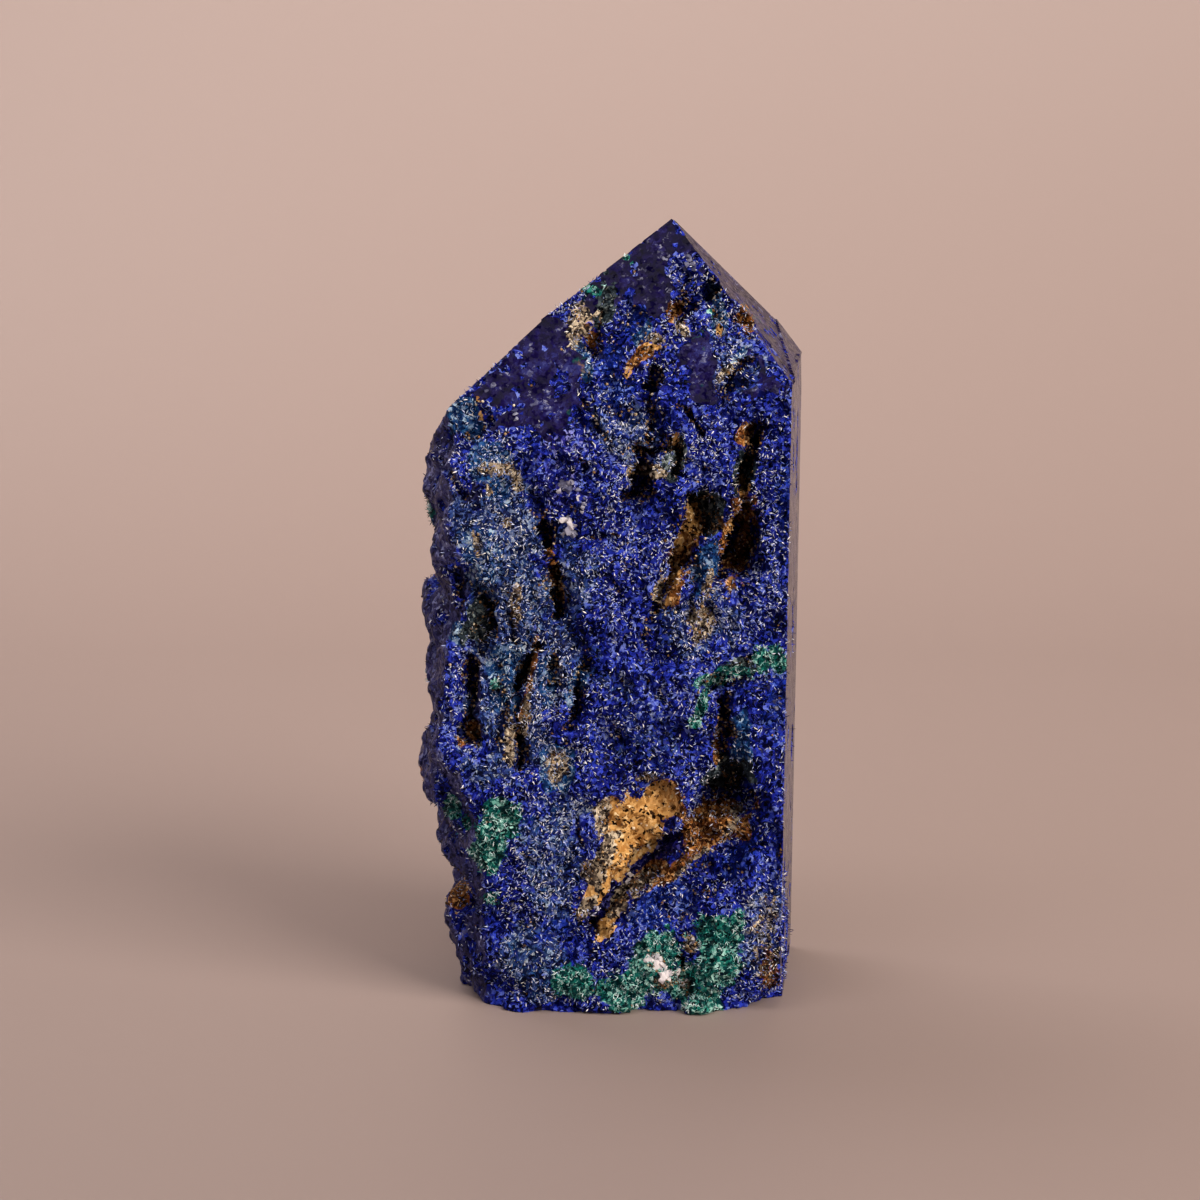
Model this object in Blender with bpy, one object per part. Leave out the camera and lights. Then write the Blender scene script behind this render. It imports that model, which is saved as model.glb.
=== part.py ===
"""Azurite point: a sawn, part-polished tower of azurite ore that stands on its base.

The stone is one piece, so it is one object. A rough block is lofted from the natural outline of
the ore, hollowed along its veins, given its lumps and its grain, and then sawn: a flat right side,
a back, a short pyramid of polished facets at the tip, and a flat base.

Metres, +Z up. The origin is on the flat base. The open front with its hollows looks along -Y, and
the polished side along +X.
"""
import math
from typing import NamedTuple

import bmesh
import bpy
from mathutils import Matrix, Vector, noise
from mathutils.bvhtree import BVHTree

MM = 0.001

# Driving dimensions
TIP = (6.1, -1.0, 80.3)             # where the pyramid's facets meet, in millimetres
HEIGHT = TIP[2] * MM                # base to tip
FRONT_Y = -12.2 * MM                # the middle of the rough front
BACK_Y = 11.0 * MM                  # the sawn back

# The pyramid's other corners, in millimetres
FRONT_RIGHT = (17.6, -12.0, 64.1)
FRONT_LEFT = (-16.6, -12.0, 55.0)
RIGHT_CORNER_TOP = (17.9, 8.0, 69.5)
LEFT_BEND = (-5.9, -4.4, 71.2)
LEFT_SHOULDER = (-16.8, -8.4, 61.3)

# How finely the rough surface is made, and how far it is thinned afterwards
GRAIN = 0.50 * MM                   # size of a cell of the rough surface
FACETS = 9700                       # about how many triangles the rough surface keeps
MERGE = 0.02 * MM                   # points nearer than this are one point
SPIKE = 0.45 * MM                   # a spike smaller than this is flattened


class Level(NamedTuple):
    """The natural left side at one height, in millimetres."""

    z: float
    corner_x: float                 # where the front turns into the left side
    flank_x: float                  # the furthest left point of the side


# From the shoulder down to the foot: the shoulder, a waist, a long swelling, a bulge, a cut-in foot.
LEFT_SIDE = (
    Level(84.0, -15.6, -17.0),
    Level(61.0, -15.7, -17.1),
    Level(56.2, -15.8, -17.7),
    Level(53.0, -16.2, -18.4),
    Level(50.4, -16.3, -18.5),
    Level(48.4, -15.9, -17.9),
    Level(44.2, -15.7, -17.6),
    Level(42.6, -15.9, -18.4),
    Level(40.0, -16.0, -19.1),
    Level(37.6, -16.9, -18.1),
    Level(34.1, -17.2, -18.2),
    Level(31.0, -17.4, -17.9),
    Level(28.6, -17.7, -19.0),
    Level(25.9, -15.7, -19.5),
    Level(22.0, -13.6, -20.0),
    Level(19.6, -12.8, -19.2),
    Level(16.2, -12.6, -18.1),
    Level(14.4, -12.5, -16.7),
    Level(11.6, -12.2, -15.9),
    Level(9.6, -12.1, -17.0),
    Level(6.6, -11.6, -16.8),
    Level(3.6, -10.6, -16.1),
    Level(1.2, -9.8, -15.2),
    Level(-1.0, -10.6, -14.3),
    Level(-3.0, -11.4, -13.6),
)
LOFT_STEP = 1.4 * MM                # height between two sections of the loft
OVERSIZE_X = 24.0 * MM              # rough stone to the right of the sawn side
OVERSIZE_BACK_Y = 14.0 * MM         # rough stone behind the sawn back
FLANK_BACK = (3.6 * MM, OVERSIZE_BACK_Y)    # how the left side curves in towards the back
FLANK_BEND = (1.0 * MM, 6.5 * MM)
FLANK_MIDDLE_Y = -3.5 * MM
FLANK_FRONT_Y = -8.8 * MM           # where it starts to turn towards the front
FLANK_FRONT_SHARE = 0.42


class Saw(NamedTuple):
    """A flat face of the point, through three places given in millimetres."""

    name: str
    places: tuple


SAWS = (
    Saw("front pyramid facet", (TIP, FRONT_RIGHT, FRONT_LEFT)),
    Saw("right pyramid facet", (TIP, FRONT_RIGHT, RIGHT_CORNER_TOP)),
    Saw("right corner facet", (RIGHT_CORNER_TOP, (20.1, 8.6, 66.4), (17.6, -10.4, 65.0))),
    Saw("upper left facet", (TIP, LEFT_BEND, (-4.0, 9.0, 68.2))),
    Saw("lower left facet", (LEFT_BEND, LEFT_SHOULDER, (-15.6, 6.0, 57.0))),
    Saw("back facet", (TIP, (-14.0, 11.0, 57.0), (18.0, 11.0, 61.5))),
    Saw("right side", ((17.3, -12.0, 19.0), (17.65, -12.0, 64.0), (19.9, 8.0, 40.0))),
    Saw("back", ((0.0, 11.0, 0.0), (10.0, 11.0, 0.0), (0.0, 11.0, 50.0))),
    Saw("front skim", ((0.0, -13.5, 0.0), (10.0, -13.5, 0.0), (0.0, -13.0, 55.0))),
    Saw("base", ((0.0, 0.0, 0.0), (10.0, 0.0, 0.0), (0.0, 10.0, 0.0))),
)
FRONT_FACET_SAW = 0                 # which of them is the front pyramid facet
RIGHT_SAW = 6                       # which of them is the right side


class Hollow(NamedTuple):
    """A hollow or slot, in millimetres and degrees, as seen on the face that it opens in."""

    across: float                   # x on the front and the back, y on the left side
    z: float
    length: float                   # along the slot
    width: float
    depth: float                    # into the stone
    lean: float                     # how far the slot's top leans towards +across


FRONT_HOLLOWS = {
    # In the pyramid
    "tip crack": Hollow(9.3, 73.2, 3.4, 1.0, 3.0, 42.0),
    "tip pocket": Hollow(7.0, 71.0, 4.2, 2.6, 4.5, 38.0),
    "right pocket": Hollow(13.3, 70.7, 3.8, 2.5, 3.6, -14.0),
    "right pocket's apron": Hollow(11.3, 70.6, 5.0, 3.0, 0.9, 10.0),
    "crescent": Hollow(3.9, 67.9, 4.6, 1.5, 1.6, 30.0),
    "middle pocket": Hollow(3.8, 64.2, 4.0, 1.9, 4.5, 12.0),
    "middle pocket's tail": Hollow(4.0, 61.2, 3.6, 1.3, 3.2, -6.0),
    "right slot": Hollow(11.7, 63.6, 3.2, 1.2, 3.2, 28.0),
    "right slot's apron": Hollow(12.6, 65.6, 5.4, 3.4, 0.8, 35.0),
    "teal groove": Hollow(-2.5, 60.2, 6.0, 1.3, 1.9, -38.0),
    "sparkling dish": Hollow(0.6, 64.2, 10.5, 5.2, 0.8, -20.0),
    "bright dish": Hollow(1.8, 69.4, 6.0, 2.2, 0.8, 32.0),
    "tan dish": Hollow(-3.2, 69.6, 6.4, 3.6, 1.0, -22.0),
    "dark dish": Hollow(-0.6, 72.4, 6.4, 2.0, 1.1, 12.0),
    "tip dish": Hollow(6.6, 75.6, 5.0, 2.6, 0.5, -6.0),
    "shoulder dish": Hollow(-14.4, 60.6, 4.8, 3.4, 0.7, 24.0),
    # In the upper front
    "upper tan slot": Hollow(4.2, 57.2, 3.2, 1.1, 2.4, 44.0),
    "upper pocket": Hollow(3.0, 53.9, 3.8, 2.5, 4.6, 22.0),
    "upper pocket's foot": Hollow(2.5, 51.2, 3.0, 1.7, 2.0, 0.0),
    "upper dark slot": Hollow(6.3, 56.2, 4.4, 1.5, 3.2, 14.0),
    "edge pocket": Hollow(13.4, 59.1, 3.0, 2.0, 3.6, 16.0),
    "edge slot": Hollow(13.1, 55.2, 4.6, 1.6, 4.0, 14.0),
    "left slot's head": Hollow(-6.3, 48.8, 5.0, 1.7, 4.8, -14.0),
    "left slot": Hollow(-5.4, 44.2, 6.6, 1.8, 5.0, -10.0),
    "pit under the tan arc": Hollow(-11.2, 53.4, 3.0, 2.4, 1.0, 0.0),
    "flank pit": Hollow(-15.2, 44.8, 3.2, 2.6, 1.8, 20.0),
    "flank slot": Hollow(-13.0, 42.8, 2.8, 1.4, 2.0, 10.0),
    "flank groove": Hollow(-12.7, 40.0, 5.4, 1.7, 2.0, 18.0),
    # The double hollow
    "double hollow, right": Hollow(12.8, 48.0, 9.4, 2.9, 6.5, 8.0),
    "double hollow, left": Hollow(9.2, 51.0, 4.6, 3.4, 5.5, -24.0),
    "double hollow, ochre wall": Hollow(7.2, 47.8, 7.6, 2.4, 4.2, 14.0),
    "double hollow, left slot": Hollow(5.6, 45.0, 4.4, 1.6, 4.6, 12.0),
    "double hollow, inner slot": Hollow(11.0, 45.6, 5.6, 1.4, 5.5, 10.0),
    "double hollow, foot": Hollow(4.6, 41.2, 2.4, 1.3, 2.6, 20.0),
    # In the middle
    "long left slot": Hollow(-14.5, 33.0, 7.2, 1.8, 4.2, -6.0),
    "long left slot's foot": Hollow(-14.3, 29.1, 2.8, 2.2, 3.0, 14.0),
    "long slot, upper": Hollow(-8.4, 35.8, 7.8, 1.3, 4.4, 16.0),
    "long slot, lower": Hollow(-9.4, 28.6, 8.2, 1.3, 4.2, -3.0),
    "short slot": Hollow(-5.8, 34.8, 6.0, 1.0, 3.0, 0.0),
    "bent slot's head": Hollow(-2.4, 35.8, 2.8, 1.0, 2.4, 6.0),
    "bent slot": Hollow(-3.3, 32.6, 5.6, 1.1, 2.8, 24.0),
    "green hollow": Hollow(9.8, 34.4, 3.4, 2.2, 2.6, 62.0),
    "green hollow's tail": Hollow(13.2, 36.4, 3.6, 1.4, 2.2, 80.0),
    "cave's crack": Hollow(11.0, 31.2, 3.8, 1.1, 3.2, 4.0),
    "cave's chimney": Hollow(11.1, 27.2, 4.4, 1.7, 5.0, 0.0),
    # The cave and its valley
    "cave": Hollow(12.3, 23.0, 5.6, 5.6, 7.5, 20.0),
    "cave's mouth": Hollow(10.6, 20.2, 6.4, 6.8, 5.5, 50.0),
    "ochre pad": Hollow(3.0, 20.4, 9.0, 6.6, 2.0, 22.0),
    "ochre pad's upper rim": Hollow(3.4, 24.4, 3.4, 3.0, 1.1, 40.0),
    "indigo pocket": Hollow(3.6, 14.9, 14.0, 2.8, 4.6, 50.0),
    "indigo pocket's foot": Hollow(-1.6, 9.6, 5.6, 2.4, 3.0, 42.0),
    "velvet valley": Hollow(8.6, 13.4, 12.4, 4.2, 2.6, 52.0),
    "ochre strip": Hollow(0.6, 9.4, 5.6, 1.6, 2.2, 38.0),
    # Low down
    "black pit": Hollow(7.2, 5.0, 1.9, 1.3, 2.4, 10.0),
    "corner scar": Hollow(15.6, 8.6, 5.0, 3.0, 0.9, 10.0),
    "left scar": Hollow(-5.0, 17.6, 5.0, 1.2, 1.0, 4.0),
}
LEFT_HOLLOWS = {
    "high dent": Hollow(2.0, 52.0, 9.0, 5.0, 1.6, 12.0),
    "high slot": Hollow(-3.5, 45.2, 6.0, 2.0, 2.2, -8.0),
    "waist slot": Hollow(3.4, 36.0, 8.0, 2.2, 3.0, 10.0),
    "bulge slot": Hollow(-5.0, 31.0, 5.4, 1.8, 2.4, 16.0),
    "low dent": Hollow(1.0, 14.6, 6.0, 9.0, 1.8, 0.0),
    "low slot": Hollow(6.0, 23.0, 6.4, 2.2, 2.6, -14.0),
}
RIGHT_HOLLOWS = {
    "front foot scar": Hollow(-9.0, 7.0, 14.0, 7.0, 0.7, 8.0),
    "foot scar": Hollow(-2.0, 4.0, 9.0, 10.0, 0.9, 50.0),
    "thin slot": Hollow(1.0, 37.0, 7.0, 0.9, 1.6, -16.0),
    "pocket": Hollow(4.6, 24.0, 3.6, 1.8, 2.4, 24.0),
}
BACK_HOLLOWS = {
    "upper slot": Hollow(6.0, 46.0, 9.0, 2.0, 3.4, -18.0),
    "upper slot's branch": Hollow(2.6, 41.6, 5.6, 1.6, 2.6, -34.0),
    "left pocket": Hollow(-8.0, 33.0, 6.6, 3.2, 3.6, 14.0),
    "low dish": Hollow(2.0, 12.0, 15.0, 22.0, 1.6, 60.0),
    "low pocket": Hollow(8.4, 14.0, 6.0, 3.6, 4.0, 30.0),
    "high pit": Hollow(-4.0, 55.0, 3.0, 1.8, 2.0, 0.0),
}
HOLLOW_SET_BACK = 0.15              # how far a hollow's widest part lies inside, by its depth
HOLLOW_CLOSING = 0.45 * MM          # what the skin's rounding takes off a hollow's width
HOLLOW_REACH = 4.0 * MM             # how far a hollow's body goes on outwards, through the waste
WOBBLE = 0.18                       # how uneven the hollows and the lumps are
WOBBLE_WAVES = 1.7                  # how many dents there are across such a body
FLANK_SET_BACK = 0.4 * MM           # how far inside the left side's outline its hollows start


class Lump(NamedTuple):
    """A rounded lump that grew on the stone, in millimetres."""

    place: tuple
    size: tuple                     # across, deep, tall


LUMPS = {
    "malachite, left lobe": Lump((-3.7, -12.0, 3.4), (3.6, 3.0, 3.4)),
    "malachite, left bud": Lump((-1.6, -12.1, 5.2), (2.4, 2.2, 2.2)),
    "malachite, dark lobe": Lump((1.0, -12.0, 1.6), (4.4, 3.2, 3.8)),
    "malachite, dark bud": Lump((2.2, -12.2, 4.0), (2.2, 2.0, 2.4)),
    "malachite, white lobe": Lump((4.9, -12.1, 4.6), (3.8, 3.0, 5.0)),
    "malachite, white bud": Lump((4.4, -12.2, 7.6), (2.6, 2.2, 2.6)),
    "malachite, right lobe": Lump((10.3, -12.1, 4.4), (4.0, 3.0, 4.6)),
    "malachite, high lobe": Lump((10.8, -12.1, 8.2), (2.8, 2.6, 3.2)),
    "malachite, foot lobe": Lump((8.8, -12.0, 0.4), (3.4, 3.2, 2.8)),
    "malachite, flank lobe": Lump((-12.6, -11.8, 18.2), (4.4, 2.8, 5.4)),
    "malachite, flank bud": Lump((-10.9, -12.0, 21.0), (3.6, 2.2, 1.8)),
    "brown flank lump": Lump((-15.8, -6.5, 9.4), (2.8, 4.4, 4.0)),
    "double hollow's ridge": Lump((9.0, -9.8, 45.8), (1.6, 4.4, 6.4)),
    "double hollow's bar": Lump((11.0, -9.6, 49.4), (1.4, 4.0, 4.6)),
    "cave's ridge": Lump((12.4, -9.6, 19.2), (7.0, 4.4, 1.5)),
    "cave's teal wall": Lump((14.4, -9.6, 27.2), (2.4, 5.0, 5.6)),
    "corner chip": Lump((14.7, -9.6, 2.7), (1.5, 2.2, 1.5)),
    "crescent knob": Lump((4.8, -6.6, 69.0), (2.2, 2.4, 2.4)),
}


class Chip(NamedTuple):
    """A corner that is broken away, in millimetres: a blunt body taken off."""

    place: tuple
    size: tuple


CHIPS = {
    "front right foot": Chip((19.4, -14.6, -1.2), (13.0, 15.0, 9.6)),
    "right foot": Chip((22.0, 3.0, -1.0), (9.0, 16.0, 5.6)),
    "back right foot": Chip((23.0, 14.0, 1.0), (8.0, 10.0, 12.0)),
    "back left foot": Chip((-13.0, 14.6, -1.4), (15.0, 12.0, 8.0)),
}


class Swell(NamedTuple):
    """One size of unevenness of the rough surface, in millimetres."""

    wave: float                     # from crest to crest
    height: float                   # how far it moves the surface, each way


SWELLS = (Swell(9.0, 0.60), Swell(3.6, 0.60), Swell(1.7, 0.30))
NOISE_OFFSET = Vector((3.7, 1.9, 8.2))
SKIN_LOOK = 5.0 * MM                # how far across a slot the next wall is looked for
SKIN_START = 0.05 * MM
ROOM_SHARE = 0.25                   # the share of a slot's width that a swell may take
FLANK_GAIN = 0.6                    # how much rougher the natural left side is
FLANK_START_X = -12.0 * MM
FLANK_WIDTH = 6.0 * MM
WASTE = 1.0 * MM                    # stone further out than this is sawn off whatever its swells
ALLOWANCE = 1.6 * MM                # stone that the first, rough sawing leaves for the polishing

AZURITE_BLUE = (0.022, 0.030, 0.180, 1.0)
AZURITE_ROUGHNESS = 0.45
AZURITE_IOR = 1.76


def remove_default_objects():
    """Start from an empty scene."""
    for obj in list(bpy.data.objects):
        bpy.data.objects.remove(obj, do_unlink=True)


def new_object(name, shape):
    """Turn a bmesh into an object in the scene."""
    mesh = bpy.data.meshes.new(name)
    shape.to_mesh(mesh)
    shape.free()
    obj = bpy.data.objects.new(name, mesh)
    bpy.context.scene.collection.objects.link(obj)
    return obj


def add_cutter(name, shape, cutters):
    """Turn a bmesh into a cutter, which is shown as a wire and not rendered."""
    obj = new_object(name, shape)
    bpy.context.scene.collection.objects.unlink(obj)
    cutters.objects.link(obj)
    obj.display_type = 'WIRE'
    obj.hide_render = True


def apply_modifiers(obj):
    """Replace an object's mesh by what its modifiers make of it."""
    depsgraph = bpy.context.evaluated_depsgraph_get()
    mesh = bpy.data.meshes.new_from_object(obj.evaluated_get(depsgraph))
    obj.modifiers.clear()
    obj.data = mesh


def between(low, high, share):
    """A value part of the way from one to another."""
    return low + (high - low) * share


def left_side_at(height):
    """The corner and the flank of the natural left side at a height, both as x in metres."""
    z = height / MM
    for upper, lower in zip(LEFT_SIDE, LEFT_SIDE[1:]):
        if z >= lower.z:
            share = min((z - lower.z) / (upper.z - lower.z), 1.0)
            corner = between(lower.corner_x, upper.corner_x, share)
            flank = between(lower.flank_x, upper.flank_x, share)
            return corner * MM, flank * MM
    return LEFT_SIDE[-1].corner_x * MM, LEFT_SIDE[-1].flank_x * MM


def section(height):
    """The rough block's outline at a height, anticlockwise from the front left corner."""
    corner, flank = left_side_at(height)
    outline = (
        (corner, FRONT_Y),
        (between(corner, OVERSIZE_X, 0.5), FRONT_Y),
        (OVERSIZE_X, FRONT_Y),
        (OVERSIZE_X, OVERSIZE_BACK_Y),
        (flank + FLANK_BACK[0], FLANK_BACK[1]),
        (flank + FLANK_BEND[0], FLANK_BEND[1]),
        (flank, FLANK_MIDDLE_Y),
        (between(flank, corner, FLANK_FRONT_SHARE), FLANK_FRONT_Y),
    )
    return [Vector((x, y, height)) for x, y in outline]


def rough_block():
    """The lump of ore: sections of the natural outline, joined from the foot to above the tip."""
    shape = bmesh.new()
    bottom = LEFT_SIDE[-1].z * MM
    top = LEFT_SIDE[0].z * MM
    steps = math.ceil((top - bottom) / LOFT_STEP)
    rings = []
    for step in range(steps + 1):
        height = between(bottom, top, step / steps)
        rings.append([shape.verts.new(point) for point in section(height)])
    for lower, upper in zip(rings, rings[1:]):
        for here in range(len(lower)):
            after = (here + 1) % len(lower)
            shape.faces.new((lower[here], lower[after], upper[after], upper[here]))
    shape.faces.new(list(reversed(rings[0])))
    shape.faces.new(rings[-1])
    return new_object("rough_block", shape)


def saw_plane(saw):
    """A face's middle and its normal, which points away from the middle of the stone."""
    first, second, third = (Vector(place) * MM for place in saw.places)
    normal = (second - first).cross(third - first).normalized()
    middle = Vector((0.0, 0.0, HEIGHT / 2))
    if normal.dot(middle - first) > 0.0:
        normal.negate()
    return first, normal


def plane_x(saw, y, z):
    """Where a sawn side lies, as x."""
    point, normal = saw_plane(saw)
    return point.x - (normal.y * (y - point.y) + normal.z * (z - point.z)) / normal.x


def front_depth(x, z):
    """Where the front lies, as y, at a place on it: the rough front, or the pyramid above it."""
    point, normal = saw_plane(SAWS[FRONT_FACET_SAW])
    facet_y = point.y - (normal.x * (x - point.x) + normal.z * (z - point.z)) / normal.y
    return max(FRONT_Y, facet_y)


def ellipsoid(middle, semi_axes, turn, reach=0.0):
    """A rounded body with its three half sizes, turned and put in place.

    Its half on the -Y side, before the turn, is drawn out by the reach.
    """
    shape = bmesh.new()
    bmesh.ops.create_icosphere(shape, subdivisions=3, radius=1.0)
    for vert in shape.verts:
        vert.co *= 1.0 + WOBBLE * noise.noise(vert.co * WOBBLE_WAVES + middle / MM)
    shape.transform(Matrix.Diagonal((*semi_axes, 1.0)))
    for vert in shape.verts:
        if vert.co.y < 0.0:
            vert.co.y -= reach
    shape.transform(Matrix.Translation(middle) @ turn)
    return shape


def hollow_body(hollow, middle, across, inward):
    """The body that a hollow takes away, with its slot leaning in the face's own plane."""
    up = Vector((0.0, 0.0, 1.0))
    lean = math.radians(hollow.lean)
    along = up * math.cos(lean) + across * math.sin(lean)
    side = across * math.cos(lean) - up * math.sin(lean)
    turn = Matrix((side, inward, along)).transposed().to_4x4()
    if turn.determinant() < 0.0:
        turn = Matrix((-side, inward, along)).transposed().to_4x4()
    depth = hollow.depth * MM
    middle = middle + inward * depth * HOLLOW_SET_BACK
    half_width = (hollow.width * MM + HOLLOW_CLOSING) / 2
    half_length = (hollow.length * MM + HOLLOW_CLOSING) / 2
    semi_axes = (half_width, depth * (1.0 - HOLLOW_SET_BACK), half_length)
    return ellipsoid(middle, semi_axes, turn, HOLLOW_REACH)


def hollow_cutters(cutters):
    """Every hollow of the front, the two sides and the back."""
    across_x = Vector((1.0, 0.0, 0.0))
    across_y = Vector((0.0, 1.0, 0.0))
    right_side = SAWS[RIGHT_SAW]
    for name, hollow in FRONT_HOLLOWS.items():
        x, z = hollow.across * MM, hollow.z * MM
        middle = Vector((x, front_depth(x, z), z))
        add_cutter(name, hollow_body(hollow, middle, across_x, across_y), cutters)
    for name, hollow in LEFT_HOLLOWS.items():
        z = hollow.z * MM
        middle = Vector((left_side_at(z)[1] + FLANK_SET_BACK, hollow.across * MM, z))
        add_cutter("flank " + name, hollow_body(hollow, middle, across_y, across_x), cutters)
    for name, hollow in RIGHT_HOLLOWS.items():
        y, z = hollow.across * MM, hollow.z * MM
        middle = Vector((plane_x(right_side, y, z), y, z))
        add_cutter("right " + name, hollow_body(hollow, middle, across_y, -across_x), cutters)
    for name, hollow in BACK_HOLLOWS.items():
        middle = Vector((hollow.across * MM, BACK_Y, hollow.z * MM))
        add_cutter("back " + name, hollow_body(hollow, middle, across_x, -across_y), cutters)


def chip_cutters(cutters):
    """The corners that are broken away."""
    for name, chip in CHIPS.items():
        middle = Vector(chip.place) * MM
        semi_axes = [size * MM / 2 for size in chip.size]
        add_cutter(name, ellipsoid(middle, semi_axes, Matrix.Identity(4)), cutters)


def carve(block, cutters):
    """Take every cutter away from the block, one after another."""
    for cutter in cutters.objects:
        cut = block.modifiers.new(cutter.name, 'BOOLEAN')
        cut.operation = 'DIFFERENCE'
        cut.solver = 'EXACT'
        cut.object = cutter
    apply_modifiers(block)
    for obj in list(cutters.objects):
        bpy.data.objects.remove(obj, do_unlink=True)
    bpy.data.collections.remove(cutters)


def grow_lumps(block):
    """Set the lumps on the block. Remeshing melts them into it."""
    shape = bmesh.new()
    shape.from_mesh(block.data)
    for lump in LUMPS.values():
        middle = Vector(lump.place) * MM
        semi_axes = [size * MM / 2 for size in lump.size]
        body = ellipsoid(middle, semi_axes, Matrix.Identity(4))
        piece = bpy.data.meshes.new("lump")
        body.to_mesh(piece)
        body.free()
        shape.from_mesh(piece)
        bpy.data.meshes.remove(piece)
    shape.to_mesh(block.data)
    shape.free()


def remesh(block):
    """Turn the block and its lumps into one even skin."""
    skin = block.modifiers.new("skin", 'REMESH')
    skin.mode = 'VOXEL'
    skin.voxel_size = GRAIN
    apply_modifiers(block)


def waste_depth(place, planes):
    """How far a place lies outside the sawn body, or a negative number inside it."""
    return max(normal.dot(place - point) for point, normal in planes)


def room(tree, place, direction):
    """How far a point of the skin can move in a direction without closing up on the next wall."""
    start = place + direction * SKIN_START
    distance = tree.ray_cast(start, direction, SKIN_LOOK)[3]
    return ROOM_SHARE * (SKIN_LOOK if distance is None else distance)


def swelling(place):
    """How far the swells move the skin at a place."""
    shift = 0.0
    for swell in SWELLS:
        shift += 2.0 * swell.height * MM * noise.noise(place / (swell.wave * MM) + NOISE_OFFSET)
    flank = (FLANK_START_X - place.x) / FLANK_WIDTH
    return shift * (1.0 + FLANK_GAIN * min(max(flank, 0.0), 1.0))


def roughen(block):
    """Move the skin in and out by swells of several sizes, more on the natural left side.

    The waste that the saw takes off stays smooth, so that few facets are spent on it.
    """
    planes = [saw_plane(saw) for saw in SAWS]
    mesh = block.data
    shape = bmesh.new()
    shape.from_mesh(mesh)
    shape.normal_update()
    tree = BVHTree.FromBMesh(shape)
    moves = []
    for vert in shape.verts:
        shift = 0.0
        if waste_depth(vert.co, planes) < WASTE:
            shift = swelling(vert.co)
            if shift > 0.0:
                shift = min(shift, room(tree, vert.co, vert.normal))
            else:
                shift = max(shift, -room(tree, vert.co, -vert.normal))
        moves.append(vert.normal * shift)
    for vert, move in zip(shape.verts, moves):
        vert.co += move
    shape.to_mesh(mesh)
    shape.free()


def thin_out(block):
    """Keep about the wanted number of facets, where the surface turns most."""
    triangles = 2 * len(block.data.polygons)
    thin = block.modifiers.new("facets", 'DECIMATE')
    thin.ratio = min(FACETS / triangles, 1.0)
    thin.use_collapse_triangulate = True
    apply_modifiers(block)


def sawn_block(allowance):
    """The flat-sided body that the saw and the polishing wheel leave: every face is one cut.

    The allowance is stone that is left on every face for the polishing.
    """
    shape = bmesh.new()
    bmesh.ops.create_cube(shape, size=4.0 * HEIGHT)
    for saw in SAWS:
        point, normal = saw_plane(saw)
        everything = shape.verts[:] + shape.edges[:] + shape.faces[:]
        cut = bmesh.ops.bisect_plane(
            shape, geom=everything, plane_co=point + normal * allowance, plane_no=normal,
            clear_outer=True)
        rim = [item for item in cut["geom_cut"] if isinstance(item, bmesh.types.BMEdge)]
        bmesh.ops.contextual_create(shape, geom=rim)
    bmesh.ops.recalc_face_normals(shape, faces=shape.faces[:])
    return new_object("sawn_block", shape)


def saw_off(block, allowance):
    """Keep only what lies inside the sawn body."""
    body = sawn_block(allowance)
    body.display_type = 'WIRE'
    body.hide_render = True
    cut = block.modifiers.new("sawing", 'BOOLEAN')
    cut.operation = 'INTERSECT'
    # The thinned skin touches itself in a few narrow slots, and EXACT leaves nothing of it
    cut.solver = 'MANIFOLD'
    cut.object = body
    apply_modifiers(block)
    bpy.data.objects.remove(body, do_unlink=True)


def island_from(start, seen):
    """Every face that hangs together with one face."""
    island = [start]
    seen.add(start)
    for face in island:
        for edge in face.edges:
            for other in edge.link_faces:
                if other not in seen:
                    seen.add(other)
                    island.append(other)
    return island


def is_spike(vert):
    """Whether a point is the tip of a tiny three-sided spike."""
    return len(vert.link_edges) == 3 and max(edge.calc_length() for edge in vert.link_edges) < SPIKE


def keep_largest_piece(block):
    """Drop the crumbs and spikes that the sawing leaves, and merge points that fall together."""
    shape = bmesh.new()
    shape.from_mesh(block.data)
    bmesh.ops.remove_doubles(shape, verts=shape.verts[:], dist=MERGE)
    seen = set()
    islands = [island_from(face, seen) for face in shape.faces if face not in seen]
    islands.sort(key=len)
    crumbs = [face for island in islands[:-1] for face in island]
    bmesh.ops.delete(shape, geom=crumbs, context='FACES')
    loose = [vert for vert in shape.verts if not vert.link_faces]
    bmesh.ops.delete(shape, geom=loose, context='VERTS')
    bmesh.ops.triangulate(shape, faces=shape.faces[:])
    spikes = [vert for vert in shape.verts if is_spike(vert)]
    bmesh.ops.dissolve_verts(shape, verts=spikes)
    bmesh.ops.triangulate(shape, faces=shape.faces[:])
    shape.to_mesh(block.data)
    shape.free()


def azurite_material():
    """Deep blue ore with a broken, slightly glossy surface."""
    material = bpy.data.materials.new("azurite")
    material.use_nodes = True
    shader = material.node_tree.nodes["Principled BSDF"]
    shader.inputs["Base Color"].default_value = AZURITE_BLUE
    shader.inputs["Roughness"].default_value = AZURITE_ROUGHNESS
    shader.inputs["Metallic"].default_value = 0.0
    shader.inputs["IOR"].default_value = AZURITE_IOR
    material.diffuse_color = AZURITE_BLUE
    return material


def azurite_point():
    """The whole stone, as one object."""
    block = rough_block()
    block.name = "azurite_point"
    saw_off(block, ALLOWANCE)
    cutters = bpy.data.collections.new("cutters")
    bpy.context.scene.collection.children.link(cutters)
    hollow_cutters(cutters)
    chip_cutters(cutters)
    carve(block, cutters)
    grow_lumps(block)
    remesh(block)
    roughen(block)
    thin_out(block)
    saw_off(block, 0.0)
    keep_largest_piece(block)
    block.data.name = "azurite_point"
    block.data.materials.clear()
    block.data.materials.append(azurite_material())


remove_default_objects()
azurite_point()
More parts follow.
